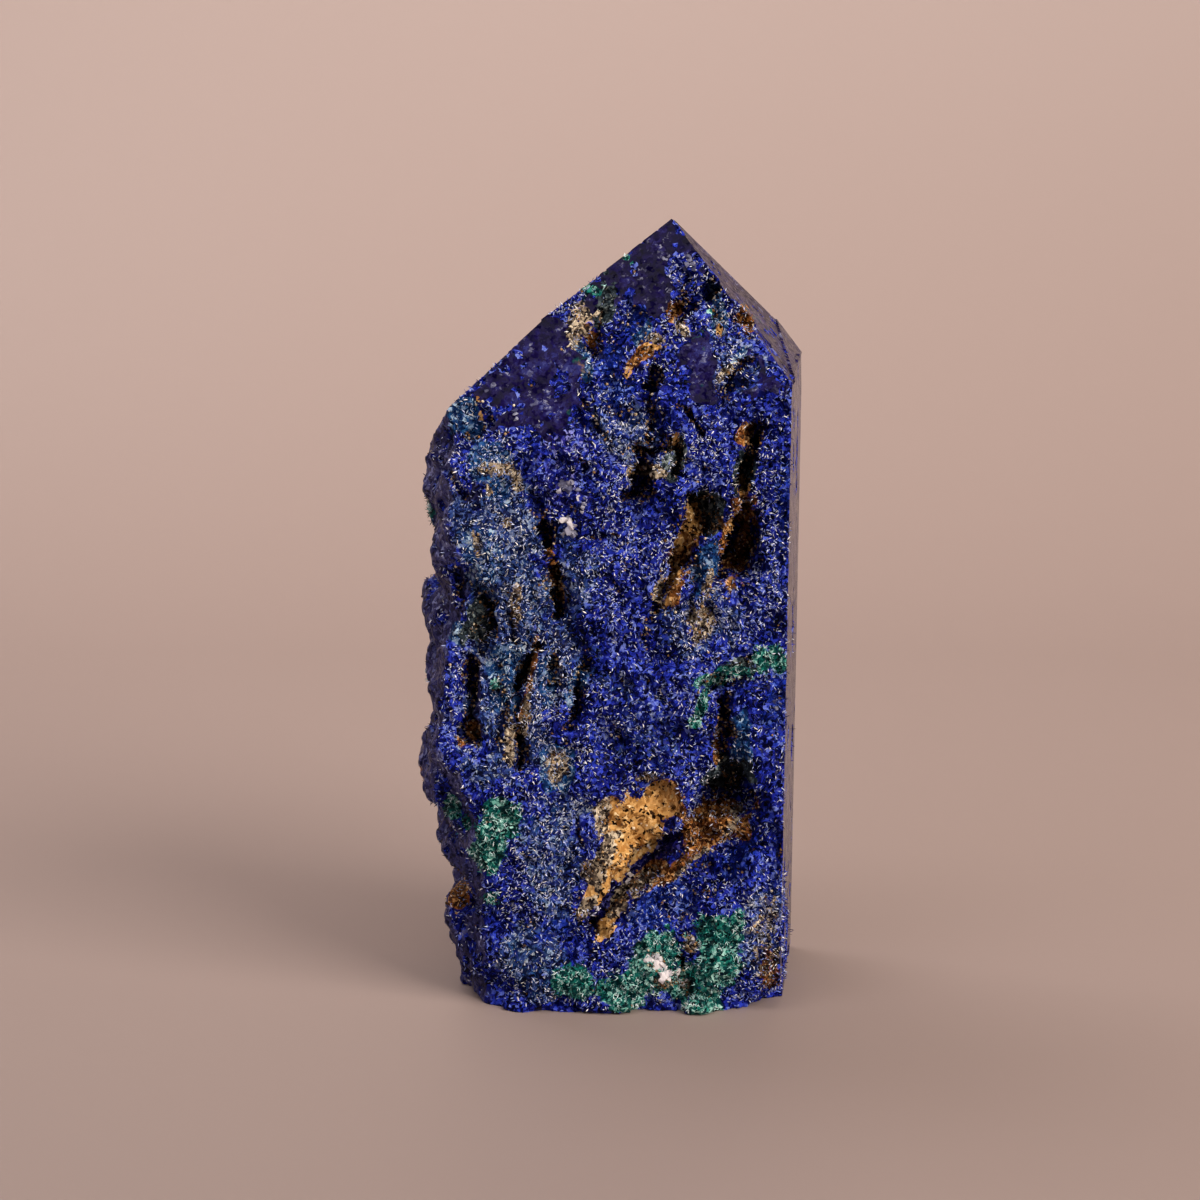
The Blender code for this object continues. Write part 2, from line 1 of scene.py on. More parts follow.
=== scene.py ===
"""Looks of the azurite point: a sawn tower of azurite ore with malachite and limonite grown in it.

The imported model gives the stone's form. This script makes its skin: the fine relief of the broken
ore, the flat polished faces, the crust of small azurite crystals, the malachite at the foot, the
ochre limonite in the hollows and a few pale crystals.

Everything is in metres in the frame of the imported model: +Z up, the origin on the flat base, the
rough front along -Y and the polished side along +X. Sizes whose names end in _MM, and the fields
of classes whose docstrings say so, are in millimetres.
"""

import logging
import math
from dataclasses import dataclass
from enum import Enum
from typing import Any

import bmesh
import bpy
import numpy as np
from mathutils import Euler, Matrix, Vector
from mathutils.bvhtree import BVHTree


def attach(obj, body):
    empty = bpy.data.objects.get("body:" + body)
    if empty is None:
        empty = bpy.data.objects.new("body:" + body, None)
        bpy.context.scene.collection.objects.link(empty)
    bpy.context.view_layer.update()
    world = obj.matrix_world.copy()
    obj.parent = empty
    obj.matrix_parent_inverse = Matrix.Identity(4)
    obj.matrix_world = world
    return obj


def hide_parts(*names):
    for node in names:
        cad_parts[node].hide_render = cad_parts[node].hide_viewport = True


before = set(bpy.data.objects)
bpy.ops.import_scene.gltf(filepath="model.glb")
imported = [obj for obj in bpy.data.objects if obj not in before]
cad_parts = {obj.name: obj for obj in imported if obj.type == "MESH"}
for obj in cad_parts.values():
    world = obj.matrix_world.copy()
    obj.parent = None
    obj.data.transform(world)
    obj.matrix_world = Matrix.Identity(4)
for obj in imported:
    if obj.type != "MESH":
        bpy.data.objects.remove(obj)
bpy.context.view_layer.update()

log = logging.getLogger("azurite_point")

MM = 0.001
NODE = "azurite_point"
BODY = "root"

Colour = tuple[float, float, float, float]


class Mineral(Enum):
    """What grows on the ore, or is painted on it as shade, and the name of the attribute that says
    where.
    """

    OCHRE = "ochre"              # smooth yellow-brown limonite
    RUST = "rust"                # dark orange-brown limonite on the walls of hollows
    MALACHITE = "malachite"      # green crust
    TEAL = "teal"                # blue-green film of the two copper minerals mixed
    VELVET = "velvet"            # bright blue azurite of very fine crystals
    INDIGO = "indigo"            # large dark azurite crystals
    DUST = "dust"                # azurite dulled by a film of clay
    SHADE = "shade"              # painted shade: dark grey-green laid in hollows and pockets
    CREAM = "cream"              # pale crumbs of clay and quartz
    FLANK = "flank"              # the worn natural left side: dull violet-grey, partly painted shade of the side turned from the key
    POLISH = "polish"            # where the wheel reached the front facet
    SPARKLE = "sparkle"          # where the needles of painted glints stand thickest


# These have a way of their own to say where they are
PLACED_APART = (Mineral.FLANK, Mineral.POLISH, Mineral.SPARKLE)


@dataclass(frozen=True)
class Patch:
    """A ragged oval on the front of the stone, in millimetres and degrees."""

    x: float
    z: float
    length: float
    width: float
    lean: float = 0.0            # how far its upper end leans towards +X
    strength: float = 1.0


def patches(*rows: tuple[float, ...]) -> tuple[Patch, ...]:
    """Make patches, each from a row of its sizes in the order of its fields."""
    return tuple(Patch(*row) for row in rows)


# Where each mineral lies on the front. Polish is only on the front facet's sound parts.
PATCHES: dict[Mineral, tuple[Patch, ...]] = {
    Mineral.OCHRE: patches(
        # The pad beside the cave, and what runs down from it
        (4.4, 21.4, 5.4, 4.6, 30), (2.6, 19.2, 6.8, 6.6, 20), (0.6, 16.0, 6.4, 3.6, 24),
        (-1.7, 12.8, 5.0, 1.8, 38), (0.0, 9.7, 4.6, 1.2, 35),
        # The tip
        (-3.0, 69.6, 3.4, 2.4, 0, 0.62), (3.8, 67.6, 1.0, 2.2, 0, 0.62),
        (1.4, 64.9, 1.5, 1.1, 0, 0.64), (10.7, 69.2, 1.5, 0.9, 0, 0.8),
        # The left shoulder and the face below it
        (-13.4, 62.4, 1.1, 0.8, 0, 0.7), (-13.3, 60.6, 1.6, 0.8, 0, 0.7),
        # The right slots
        (6.2, 58.7, 2.0, 1.0, 0, 0.7), (12.9, 53.8, 2.0, 1.2, 0, 0.7),
        # The double hollow
        (7.2, 49.2, 5.4, 2.4, 15, 0.9), (6.4, 45.2, 3.6, 0.9, 12, 0.8),
        (5.2, 42.4, 1.8, 1.8, 0, 0.58), (12.2, 49.8, 2.6, 1.0, 15, 0.6)),
    Mineral.RUST: patches(
        # The pad beside the cave, and what runs down from it
        (6.8, 21.4, 5.0, 1.5, -12, 0.85), (4.5, 13.9, 5.5, 1.4, 52, 0.8),
        # The cave
        (10.4, 18.7, 8.1, 4.1, 55), (7.8, 15.6, 9.1, 1.6, 56), (13.3, 18.6, 2.4, 1.4),
        (10.4, 27.2, 4.0, 0.8),
        # The foot's two corners
        (16.0, 4.0, 4.0, 2.0, 0, 0.6), (-16.0, 11.1, 4.1, 2.6),
        # The tip
        (-2.1, 68.2, 2.2, 2.0, 0, 0.8), (3.2, 67.0, 2.0, 2.0, 40, 0.75),
        (2.3, 66.3, 3.0, 1.0, 40, 0.8), (6.4, 71.0, 2.6, 1.8, 20), (13.5, 70.6, 3.2, 2.2),
        # The right slots
        (13.4, 59.1, 2.4, 1.8),
        # The double hollow
        (6.8, 47.4, 8.0, 3.0, 15), (6.2, 44.0, 5.4, 1.8, 8, 0.9), (12.5, 48.0, 9.0, 3.4, 8),
        # The slots of the middle
        (-5.9, 45.6, 8.0, 0.9, -12), (-8.5, 33.4, 11.1, 0.8, 10, 0.8),
        (-14.4, 28.7, 2.0, 2.2, 0, 0.8)),
    Mineral.MALACHITE: patches(
        # The foot
        (-3.8, 3.4, 3.4, 3.3, 20), (1.3, 1.9, 4.3, 4.7), (4.2, 5.2, 6.4, 4.6, 20),
        (6.8, 3.6, 3.8, 4.0), (10.6, 7.6, 4.8, 3.6), (10.8, 4.4, 5.4, 4.4, 0, 0.95),
        (9.3, 0.3, 2.6, 3.5), (12.6, 9.6, 2.4, 1.2, 20, 0.8),
        # The streak above the cave, and the left edge
        (16.6, 36.2, 3.0, 1.6, 0, 0.9), (14.9, 36.3, 1.4, 3.2, 70, 0.85),
        (12.4, 35.3, 1.1, 3.6, 0, 0.8), (9.8, 34.3, 1.4, 2.8, 0, 0.85),
        (8.9, 31.8, 3.4, 1.1, 14, 0.85), (8.3, 30.2, 1.6, 1.6, 0, 0.75),
        (-12.6, 18.0, 5.9, 4.3, 20), (-11.1, 21.2, 2.6, 4.5), (-16.5, 20.8, 2.0, 1.6),
        (-12.5, 11.9, 1.5, 1.3), (-11.7, 34.0, 1.1, 1.1),
        # The tip
        (1.5, 75.9, 1.6, 2.4, 0, 0.75), (-2.2, 73.1, 1.5, 2.6, 0, 0.75), (9.7, 71.0, 1.0, 0.8)),
    Mineral.TEAL: patches(
        # The cave
        (12.8, 27.2, 6.3, 2.4), (5.3, 13.7, 5.1, 1.4, 60, 0.8),
        # The tip
        (10.8, 71.0, 4.6, 2.4), (2.6, 68.9, 3.4, 2.4, 20, 0.8), (-3.2, 66.6, 5.6, 1.8, -25, 0.8),
        # The left shoulder and the face below it
        (-14.8, 60.3, 5.0, 3.8), (-12.6, 56.6, 5.0, 4.4, 0, 0.62), (-11.6, 53.4, 3.2, 3.0, 0, 0.66),
        (-13.0, 46.0, 9.0, 5.0, 0, 0.52), (-8.0, 44.0, 12.0, 4.0, 0, 0.42),
        (-7.5, 16.0, 14.0, 6.0, 0, 0.42), (-8.0, 5.0, 6.0, 5.0, 0, 0.45),
        # The right slots
        (12.4, 66.4, 4.4, 1.6, 45, 0.8),
        # The double hollow
        (9.1, 46.1, 5.2, 3.0, 15, 0.9),
        # The slots of the middle
        (-5.3, 25.5, 4.2, 4.2, 0, 0.9), (-10.6, 34.8, 6.2, 3.6, 0, 0.7),
        (-6.6, 34.2, 5.6, 2.2, 0, 0.66), (-3.8, 33.6, 4.8, 1.6, 20, 0.66),
        (-15.5, 39.4, 2.6, 2.6, 0, 0.9)),
    Mineral.VELVET: patches(
        # Below the cave
        (5.6, 11.6, 8.1, 4.4, 60), (12.4, 15.0, 6.1, 2.4, 45, 0.55),
        # The right edge
        (16.6, 33.0, 9.0, 3.0, 0, 0.55), (17.0, 52.0, 12.0, 2.2, 0, 0.55),
        # The foot
        (-6.0, 8.4, 2.0, 5.0, -20, 0.6), (9.2, 0.6, 0.8, 2.0, 60),
        # The tip
        (-0.4, 66.4, 5.0, 2.4, 30, 0.9), (0.2, 63.2, 6.0, 4.6, -15, 0.7), (2.3, 70.0, 4.6, 1.4, 35)),
    Mineral.INDIGO: patches(
        # Below the pad
        (4.0, 15.6, 6.0, 2.8, 60), (6.0, 17.0, 3.6, 2.0, 55), (-0.3, 11.3, 6.1, 2.2, 40),
        # Below the left shoulder
        (-4.8, 55.8, 9.0, 6.0, 10, 0.5)),
    Mineral.DUST: patches(
        (-11.5, 46.0, 24.0, 9.0, 0, 0.66), (-6.0, 39.0, 22.0, 8.0, 10, 0.56),
        (-10.0, 31.0, 16.0, 9.0, 10, 0.60), (-6.0, 15.0, 15.0, 8.0, 10, 0.56),
        (-7.6, 6.0, 10.0, 7.0, 0, 0.60), (1.2, 60.4, 9.0, 6.0, -25, 0.60),
        (8.0, 40.5, 9.0, 8.0, 10, 0.55), (12.0, 66.0, 9.0, 7.0, 40, 0.50),
        (3.0, 29.0, 9.0, 11.0, 60, 0.46), (15.0, 8.0, 12.0, 5.0, 0, 0.55),
        (15.6, 44.0, 12.0, 4.0, 0, 0.42)),
    # Painted shade: dark grey-green in the hollows and pockets
    Mineral.SHADE: patches(
        # The cave
        (11.8, 23.7, 5.6, 5.2),
        # The streak above the cave, and the left edge
        (13.6, 35.9, 1.6, 5.0, 0, 0.7),
        # The tip
        (-0.9, 71.6, 7.1, 2.2, 10),
        # The left shoulder and the face below it
        (-13.6, 40.4, 5.0, 3.0, 20),
        # The right slots
        (6.2, 57.0, 4.4, 1.8, 14), (13.2, 55.4, 4.6, 2.0, 14, 0.9),
        # The double hollow
        (9.4, 51.4, 4.4, 3.4)),
    Mineral.CREAM: patches(
        # The pad beside the cave, and what runs down from it
        (-1.3, 15.4, 6.4, 2.4, 25, 0.80), (3.4, 24.2, 1.8, 3.4, 0, 0.80),
        (-1.2, 20.0, 4.4, 1.6, 10, 0.78), (-2.8, 11.0, 2.8, 1.4, 38, 0.8),
        (0.4, 10.6, 3.4, 1.6, 35, 0.75), (3.4, 13.0, 4.5, 1.0, 52, 0.72),
        (8.2, 15.4, 5.0, 1.0, 56, 0.72), (12.6, 19.6, 3.6, 1.2, 40, 0.68),
        # The foot
        (4.2, 5.7, 1.2, 1.8), (5.6, 3.7, 1.8, 2.6), (7.3, 2.8, 1.1, 1.1),
        (7.8, 7.1, 1.6, 1.6, 0, 0.8),
        # The foot's two corners
        (15.8, 7.6, 8.4, 2.8, 0, 0.46),
        # The tip
        (-3.2, 70.1, 4.6, 3.4, 0, 0.66), (4.6, 68.4, 1.2, 2.4, 0, 0.74),
        (6.8, 69.4, 1.4, 2.4, 60, 0.74), (-4.2, 67.2, 5.0, 1.0, -20, 0.7),
        # The left shoulder and the face below it
        (-11.6, 55.6, 1.1, 3.6, 0, 0.85), (-12.4, 53.6, 1.6, 0.9, 0, 0.8),
        (-9.6, 54.4, 2.6, 1.1, -10, 0.85), (-13.5, 48.0, 0.8, 3.4, 80, 0.7),
        (-10.6, 50.3, 0.9, 0.9), (-9.7, 42.2, 3.8, 1.1, 0, 0.7),
        # The right slots
        (11.5, 65.4, 3.4, 1.1, 45, 0.8), (2.9, 55.3, 1.5, 3.2, 0, 0.9),
        # The double hollow
        (4.8, 43.4, 3.6, 1.6, 10, 0.74), (8.9, 40.3, 4.6, 2.6, 0, 0.68),
        (9.4, 44.4, 3.6, 1.2, 10, 0.68),
        # The slots of the middle
        (-8.7, 31.0, 8.0, 0.9, 8, 0.8), (-5.3, 25.5, 2.6, 2.6, 0, 0.62),
        (-10.4, 28.0, 5.2, 1.2, 0, 0.7)),
    Mineral.POLISH: patches(
        (-7.6, 65.0, 13.5, 6.4, 42), (-5.6, 61.4, 5.6, 6.4), (-12.4, 61.6, 5.0, 4.6),
        (4.8, 75.8, 8.6, 7.0), (6.2, 77.0, 4.2, 4.6), (0.0, 73.8, 8.0, 3.4, 48),
        (3.6, 72.0, 3.6, 3.0), (8.5, 65.6, 5.6, 4.4), (9.1, 63.0, 3.4, 3.4), (15.0, 62.8, 5.0, 4.6),
        (13.8, 66.2, 3.4, 2.4)),
    Mineral.SPARKLE: patches(
        (0.8, 60.8, 9.6, 6.0, -20), (-10.5, 46.5, 15.0, 6.5, 0, 0.8), (-7.4, 33.0, 11.0, 6.0, 5),
        (-6.0, 14.0, 15.0, 9.0, 0, 0.8), (15.4, 9.0, 11.0, 5.0), (14.6, 47.0, 17.0, 4.5, 0, 0.8),
        (0.0, 47.0, 9.0, 5.0, 0, 0.6), (8.6, 41.0, 6.0, 5.0, 10, 0.9),
        (12.0, 67.0, 7.0, 3.0, 40, 0.9)),
}

STRAYS: dict[Mineral, tuple[float, float, int]] = {
    # Away from the front: how far it is from blob to blob, how rare they are, and which noise
    Mineral.MALACHITE: (5.0, 0.80, 141),
    Mineral.RUST: (3.4, 0.82, 142),
    Mineral.TEAL: (6.0, 0.66, 143),
    Mineral.CREAM: (2.2, 0.86, 144),
    Mineral.DUST: (8.0, 0.52, 145),
}


# How many more or fewer needles of painted glints stand on a mineral, as a share of the most there are
GLINT_SHARES: dict[Mineral, float] = {
    Mineral.SPARKLE: 0.52, Mineral.DUST: 0.20, Mineral.VELVET: -0.5, Mineral.INDIGO: -0.5,
    Mineral.SHADE: -0.3,
}


@dataclass(frozen=True)
class Gash:
    """A narrow crevice in the front, from its upper to its lower end, in millimetres."""

    top_x: float
    top_z: float
    foot_x: float
    foot_z: float
    width: float
    depth: float


GASHES = tuple(Gash(*row) for row in (
    # Around the tip
    (-5.3, 67.7, -2.3, 63.1, 1.1, 0.7), (-4.0, 63.2, -0.2, 58.3, 0.9, 0.9),
    (3.4, 63.6, 4.8, 57.9, 1.1, 1.4), (6.7, 61.9, 8.0, 59.4, 0.9, 1.2),
    (13.8, 66.7, 11.4, 63.7, 0.9, 1.0), (1.2, 72.6, 3.4, 70.4, 0.8, 0.6),
    (-7.3, 62.3, -6.5, 61.2, 0.7, 0.5), (9.4, 66.6, 9.1, 65.4, 0.6, 0.5),
    (8.9, 63.6, 8.4, 62.4, 0.6, 0.5), (12.2, 74.6, 9.8, 72.2, 0.8, 0.9),
    # Below the left shoulder
    (-16.5, 55.6, -15.0, 52.6, 0.9, 0.8), (-3.5, 57.0, -2.9, 55.7, 0.9, 1.0),
    (-8.6, 53.2, -7.4, 51.4, 0.8, 0.8), (0.0, 48.9, -2.1, 49.4, 0.7, 0.9),
    (-7.6, 51.8, -5.0, 41.2, 1.3, 1.3), (-12.6, 41.5, -11.6, 38.5, 0.9, 1.1),
    (-15.8, 45.6, -15.1, 42.5, 0.8, 0.9), (-10.5, 42.5, -10.1, 38.5, 0.8, 0.9),
    # Between the hollows of the right half
    (3.6, 58.8, 1.6, 52.8, 1.2, 1.2), (6.2, 58.6, 6.7, 55.4, 0.9, 1.0),
    (14.2, 59.9, 12.7, 52.8, 1.1, 1.2), (7.8, 52.3, 4.5, 42.2, 1.0, 1.0),
    (13.0, 52.0, 11.0, 44.9, 1.2, 1.2), (8.7, 46.6, 7.7, 40.5, 0.8, 0.9),
    (9.9, 42.5, 8.7, 39.5, 0.8, 0.9), (-0.3, 46.6, 0.2, 43.6, 0.7, 0.6),
    (3.7, 40.5, 2.7, 38.5, 0.7, 0.7),
    # The middle
    (-7.3, 38.1, -9.8, 33.4, 0.9, 1.4), (-9.8, 33.4, -9.5, 25.8, 0.9, 1.2),
    (-5.9, 37.0, -5.9, 32.0, 0.7, 1.0), (-2.6, 36.5, -4.5, 29.7, 1.0, 1.3),
    (-14.4, 36.5, -13.9, 28.1, 1.0, 1.2), (-10.9, 32.4, -11.4, 28.3, 0.7, 0.8),
    (2.9, 35.0, 3.4, 33.9, 0.9, 1.0), (0.9, 28.7, 1.1, 28.1, 0.8, 0.9),
    (10.9, 32.5, 11.8, 28.6, 0.9, 1.3), (16.6, 36.2, 9.0, 33.2, 0.9, 0.9),
    (9.0, 34.0, 8.3, 30.6, 0.8, 0.8),
    # The foot
    (-3.7, 20.1, -3.4, 17.5, 0.7, 0.9), (6.5, 17.5, 3.5, 16.1, 1.3, 1.0),
    (-1.2, 10.6, -2.6, 9.2, 1.1, 1.0), (8.6, 11.8, 8.2, 11.0, 1.0, 0.9), (6.7, 5.7, 7.3, 4.7, 1.3, 1.1),
    (-2.0, 6.2, -1.4, 5.5, 0.9, 0.9), (3.2, 14.6, -0.6, 10.2, 0.9, 0.8),
    (-9.6, 20.9, -12.4, 20.0, 0.8, 0.6),
))


def linear(hex_colour: str) -> Colour:
    """Turn an sRGB hex colour to linear light.

    Args:
        hex_colour: Six hex digits.

    Returns:
        Red, green, blue and an alpha of 1.
    """
    channels = [int(hex_colour[start:start + 2], 16) / 255 for start in (0, 2, 4)]
    curved = [c / 12.92 if c <= 0.04045 else ((c + 0.055) / 1.055) ** 2.4 for c in channels]
    return (*curved, 1.0)


def add_node(tree: bpy.types.NodeTree, kind: str, inputs: dict[Any, Any] | None = None,
             **settings: Any) -> bpy.types.Node:
    """Add a node with its settings and its links.

    Args:
        tree: The tree that the node goes in.
        kind: The node's type name.
        inputs: What goes in its sockets, by name or number: another node's socket, or a value.
        **settings: The node's own properties.

    Returns:
        The new node.
    """
    node = tree.nodes.new(kind)
    for name, value in settings.items():
        setattr(node, name, value)
    for key, value in (inputs or {}).items():
        if isinstance(value, bpy.types.NodeSocket):
            tree.links.new(value, node.inputs[key])
        else:
            node.inputs[key].default_value = value
    return node


def lattice_random(cells: np.ndarray, seed: int) -> np.ndarray:
    """Give each cell of a cubic lattice its own random number.

    Args:
        cells: Whole numbers, three to a row.
        seed: Which set of random numbers to draw from.

    Returns:
        One number from 0 to 1 for each row, the same each time.
    """
    keys = cells.astype(np.int64) * np.array([73856093, 19349663, 83492791])
    mixed = (keys[:, 0] ^ keys[:, 1] ^ keys[:, 2]) + np.int64(seed * 7919)
    mixed = mixed.astype(np.uint64) & np.uint64(0xFFFFFFFF)
    for factor in (0x45D9F3B, 0x119DE1F3):
        mixed = ((mixed >> np.uint64(16)) ^ mixed) * np.uint64(factor) & np.uint64(0xFFFFFFFF)
    mixed = (mixed >> np.uint64(16)) ^ mixed
    return mixed.astype(float) / 0xFFFFFFFF


def value_noise(points: np.ndarray, wave: float, seed: int) -> np.ndarray:
    """Smooth random values in space.

    Args:
        points: Places, in millimetres.
        wave: The distance from one random value to the next, in millimetres.
        seed: Which noise.

    Returns:
        One value from 0 to 1 for each place.
    """
    scaled = points / wave
    corner = np.floor(scaled)
    share = scaled - corner
    share = share * share * (3.0 - 2.0 * share)
    total = np.zeros(len(points))
    for step in np.ndindex(2, 2, 2):
        weight = np.where(step, share, 1.0 - share).prod(axis=1)
        total += weight * lattice_random(corner + step, seed)
    return total


BLOTCH_TURN = np.array(Euler((0.6, 0.5, 0.8)).to_matrix())


def blotches(points: np.ndarray, wave: float, seed: int) -> np.ndarray:
    """Smooth random values in ragged blobs that follow no axis.

    Args:
        points: Places, in millimetres.
        wave: The distance from one random value to the next, in millimetres.
        seed: Which noise.

    Returns:
        One value from 0 to 1 for each place.
    """
    turned = points @ BLOTCH_TURN
    wander = np.stack([value_noise(turned, 0.45 * wave, seed + 60 + axis) - 0.5
                       for axis in range(3)], axis=1)
    return value_noise(turned + 1.1 * wave * wander, wave, seed)


def nearest_grain(points: np.ndarray, size: float, seed: int) -> tuple[np.ndarray, np.ndarray]:
    """Find the grain that each place lies in, where grains fill space unevenly.

    Args:
        points: Places, in millimetres.
        size: How large a grain is, in millimetres.
        seed: Which set of grains.

    Returns:
        The way from the grain's middle to each place, in millimetres, and the grain's cell.
    """
    scaled = points / size
    home = np.floor(scaled)
    nearest = np.full(len(points), np.inf)
    way = np.zeros_like(points)
    owner = np.zeros_like(points)
    for step in np.ndindex(3, 3, 3):
        cell = home + step - 1.0
        middle = cell + np.stack([lattice_random(cell, seed + axis) for axis in range(3)], axis=1)
        gap = scaled - middle
        distance = (gap * gap).sum(axis=1)
        closer = distance < nearest
        nearest[closer] = distance[closer]
        way[closer] = gap[closer]
        owner[closer] = cell[closer]
    return way * size, owner


def smoothstep(low: float, high: float, values: np.ndarray) -> np.ndarray:
    """Rise from 0 at low to 1 at high, without a corner; low may be the larger of the two."""
    share = np.clip((values - low) / (high - low), 0.0, 1.0)
    return share * share * (3.0 - 2.0 * share)


def plain_mesh(source: bpy.types.Object, name: str) -> bpy.types.Mesh:
    """Give the mesh that an object's modifiers make of it.

    Args:
        source: The object, with its modifiers.
        name: What the mesh is to be called.

    Returns:
        A mesh of its own.
    """
    depsgraph = bpy.context.evaluated_depsgraph_get()
    mesh = bpy.data.meshes.new_from_object(source.evaluated_get(depsgraph))
    mesh.name = name
    return mesh


def add_object(name: str, mesh: bpy.types.Mesh) -> bpy.types.Object:
    """Put a mesh in the scene, at the origin.

    Args:
        name: What the object is called.
        mesh: Its shape.

    Returns:
        The object.
    """
    obj = bpy.data.objects.new(name, mesh)
    bpy.context.scene.collection.objects.link(obj)
    return obj


def finished_mesh(shape: bmesh.types.BMesh, name: str) -> bpy.types.Mesh:
    """Turn a shape that is done into a mesh.

    Args:
        shape: The shape, which is freed.
        name: What the mesh is called.

    Returns:
        The mesh.
    """
    mesh = bpy.data.meshes.new(name)
    shape.to_mesh(mesh)
    shape.free()
    return mesh


def search_tree(mesh: bpy.types.Mesh) -> BVHTree:
    """Make a tree that finds the face of a mesh that is nearest, or that a ray hits."""
    return BVHTree.FromPolygons([v.co for v in mesh.vertices],
                                [p.vertices for p in mesh.polygons])


def read_rows(items: bpy.types.bpy_prop_collection, name: str, width: int = 3,
              kind: type = float) -> np.ndarray:
    """Read a property of all points, edges or polygons of a mesh.

    Args:
        items: The points, edges or polygons.
        name: The property.
        width: How many numbers it holds.
        kind: What kind of numbers.

    Returns:
        One row for each item, or one number for each where the width is 1.
    """
    values = np.empty(len(items) * width, dtype=kind)
    items.foreach_get(name, values)
    return values.reshape(-1, width) if width > 1 else values


def set_vertices(mesh: bpy.types.Mesh, points: np.ndarray) -> None:
    """Write a mesh's points, given in millimetres."""
    mesh.vertices.foreach_set("co", (points * MM).ravel())
    mesh.update()


def set_attribute(mesh: bpy.types.Mesh, name: str, values: np.ndarray) -> None:
    """Store one number at each of a mesh's points."""
    attribute = mesh.attributes.new(name, 'FLOAT', 'POINT')
    attribute.data.foreach_set("value", values.astype(np.float32))


def spread(values: np.ndarray, ends: np.ndarray, free: np.ndarray, rounds: int) -> np.ndarray:
    """Let each free point's values move halfway to the mean of its neighbours', again and again.

    Args:
        values: One row for each point.
        ends: The points that the edges join: all first ends, then all second ends.
        free: Which points may change.
        rounds: How often.

    Returns:
        The new values.
    """
    first, second = ends
    count = len(values)
    neighbours = np.bincount(first, minlength=count) + np.bincount(second, minlength=count)
    for _ in range(rounds):
        total = np.stack([
            np.bincount(first, column[second], count) + np.bincount(second, column[first], count)
            for column in values.T], axis=1)
        middle = total / np.maximum(neighbours, 1)[:, None]
        values = np.where(free[:, None], (values + middle) / 2.0, values)
    return values


@dataclass(frozen=True)
class SawnFace:
    """A flat polished face of the stone: a plane in millimetres, its normal pointing out."""

    normal: np.ndarray
    offset: float

    def height(self, points: np.ndarray) -> np.ndarray:
        """How far places lie outside the plane, in millimetres."""
        return points @ self.normal - self.offset


@dataclass(frozen=True)
class Swell:
    """One size of unevenness, in millimetres."""

    wave: float
    height: float

    def lift(self, points: np.ndarray, seed: int) -> np.ndarray:
        """How high it stands at each point, which is at most its height up or down."""
        return self.height * 2.0 * (value_noise(points, self.wave, seed) - 0.5)


@dataclass(frozen=True)
class Spots:
    """Places that stand out of a noise: their size in millimetres, how rare, and which noise."""

    wave: float
    rare: float
    seed: int

    def there(self, points: np.ndarray) -> np.ndarray:
        """Say at which points there is a spot."""
        return blotches(points, self.wave, self.seed) >= self.rare


@dataclass
class Skin:
    """What is known of each point of the finished skin."""

    points: np.ndarray                   # in millimetres
    normals: np.ndarray
    sawn: np.ndarray                     # whether it lies on a sawn face
    rough: np.ndarray                    # whether it is broken ore, and no pit in a sawn face
    enclosed: np.ndarray                 # how closed in it is by the stone around it
    cavity: np.ndarray                   # the same, with the crevices of the relief; it sets the painted shade
    flank: np.ndarray                    # how much it belongs to the natural left side


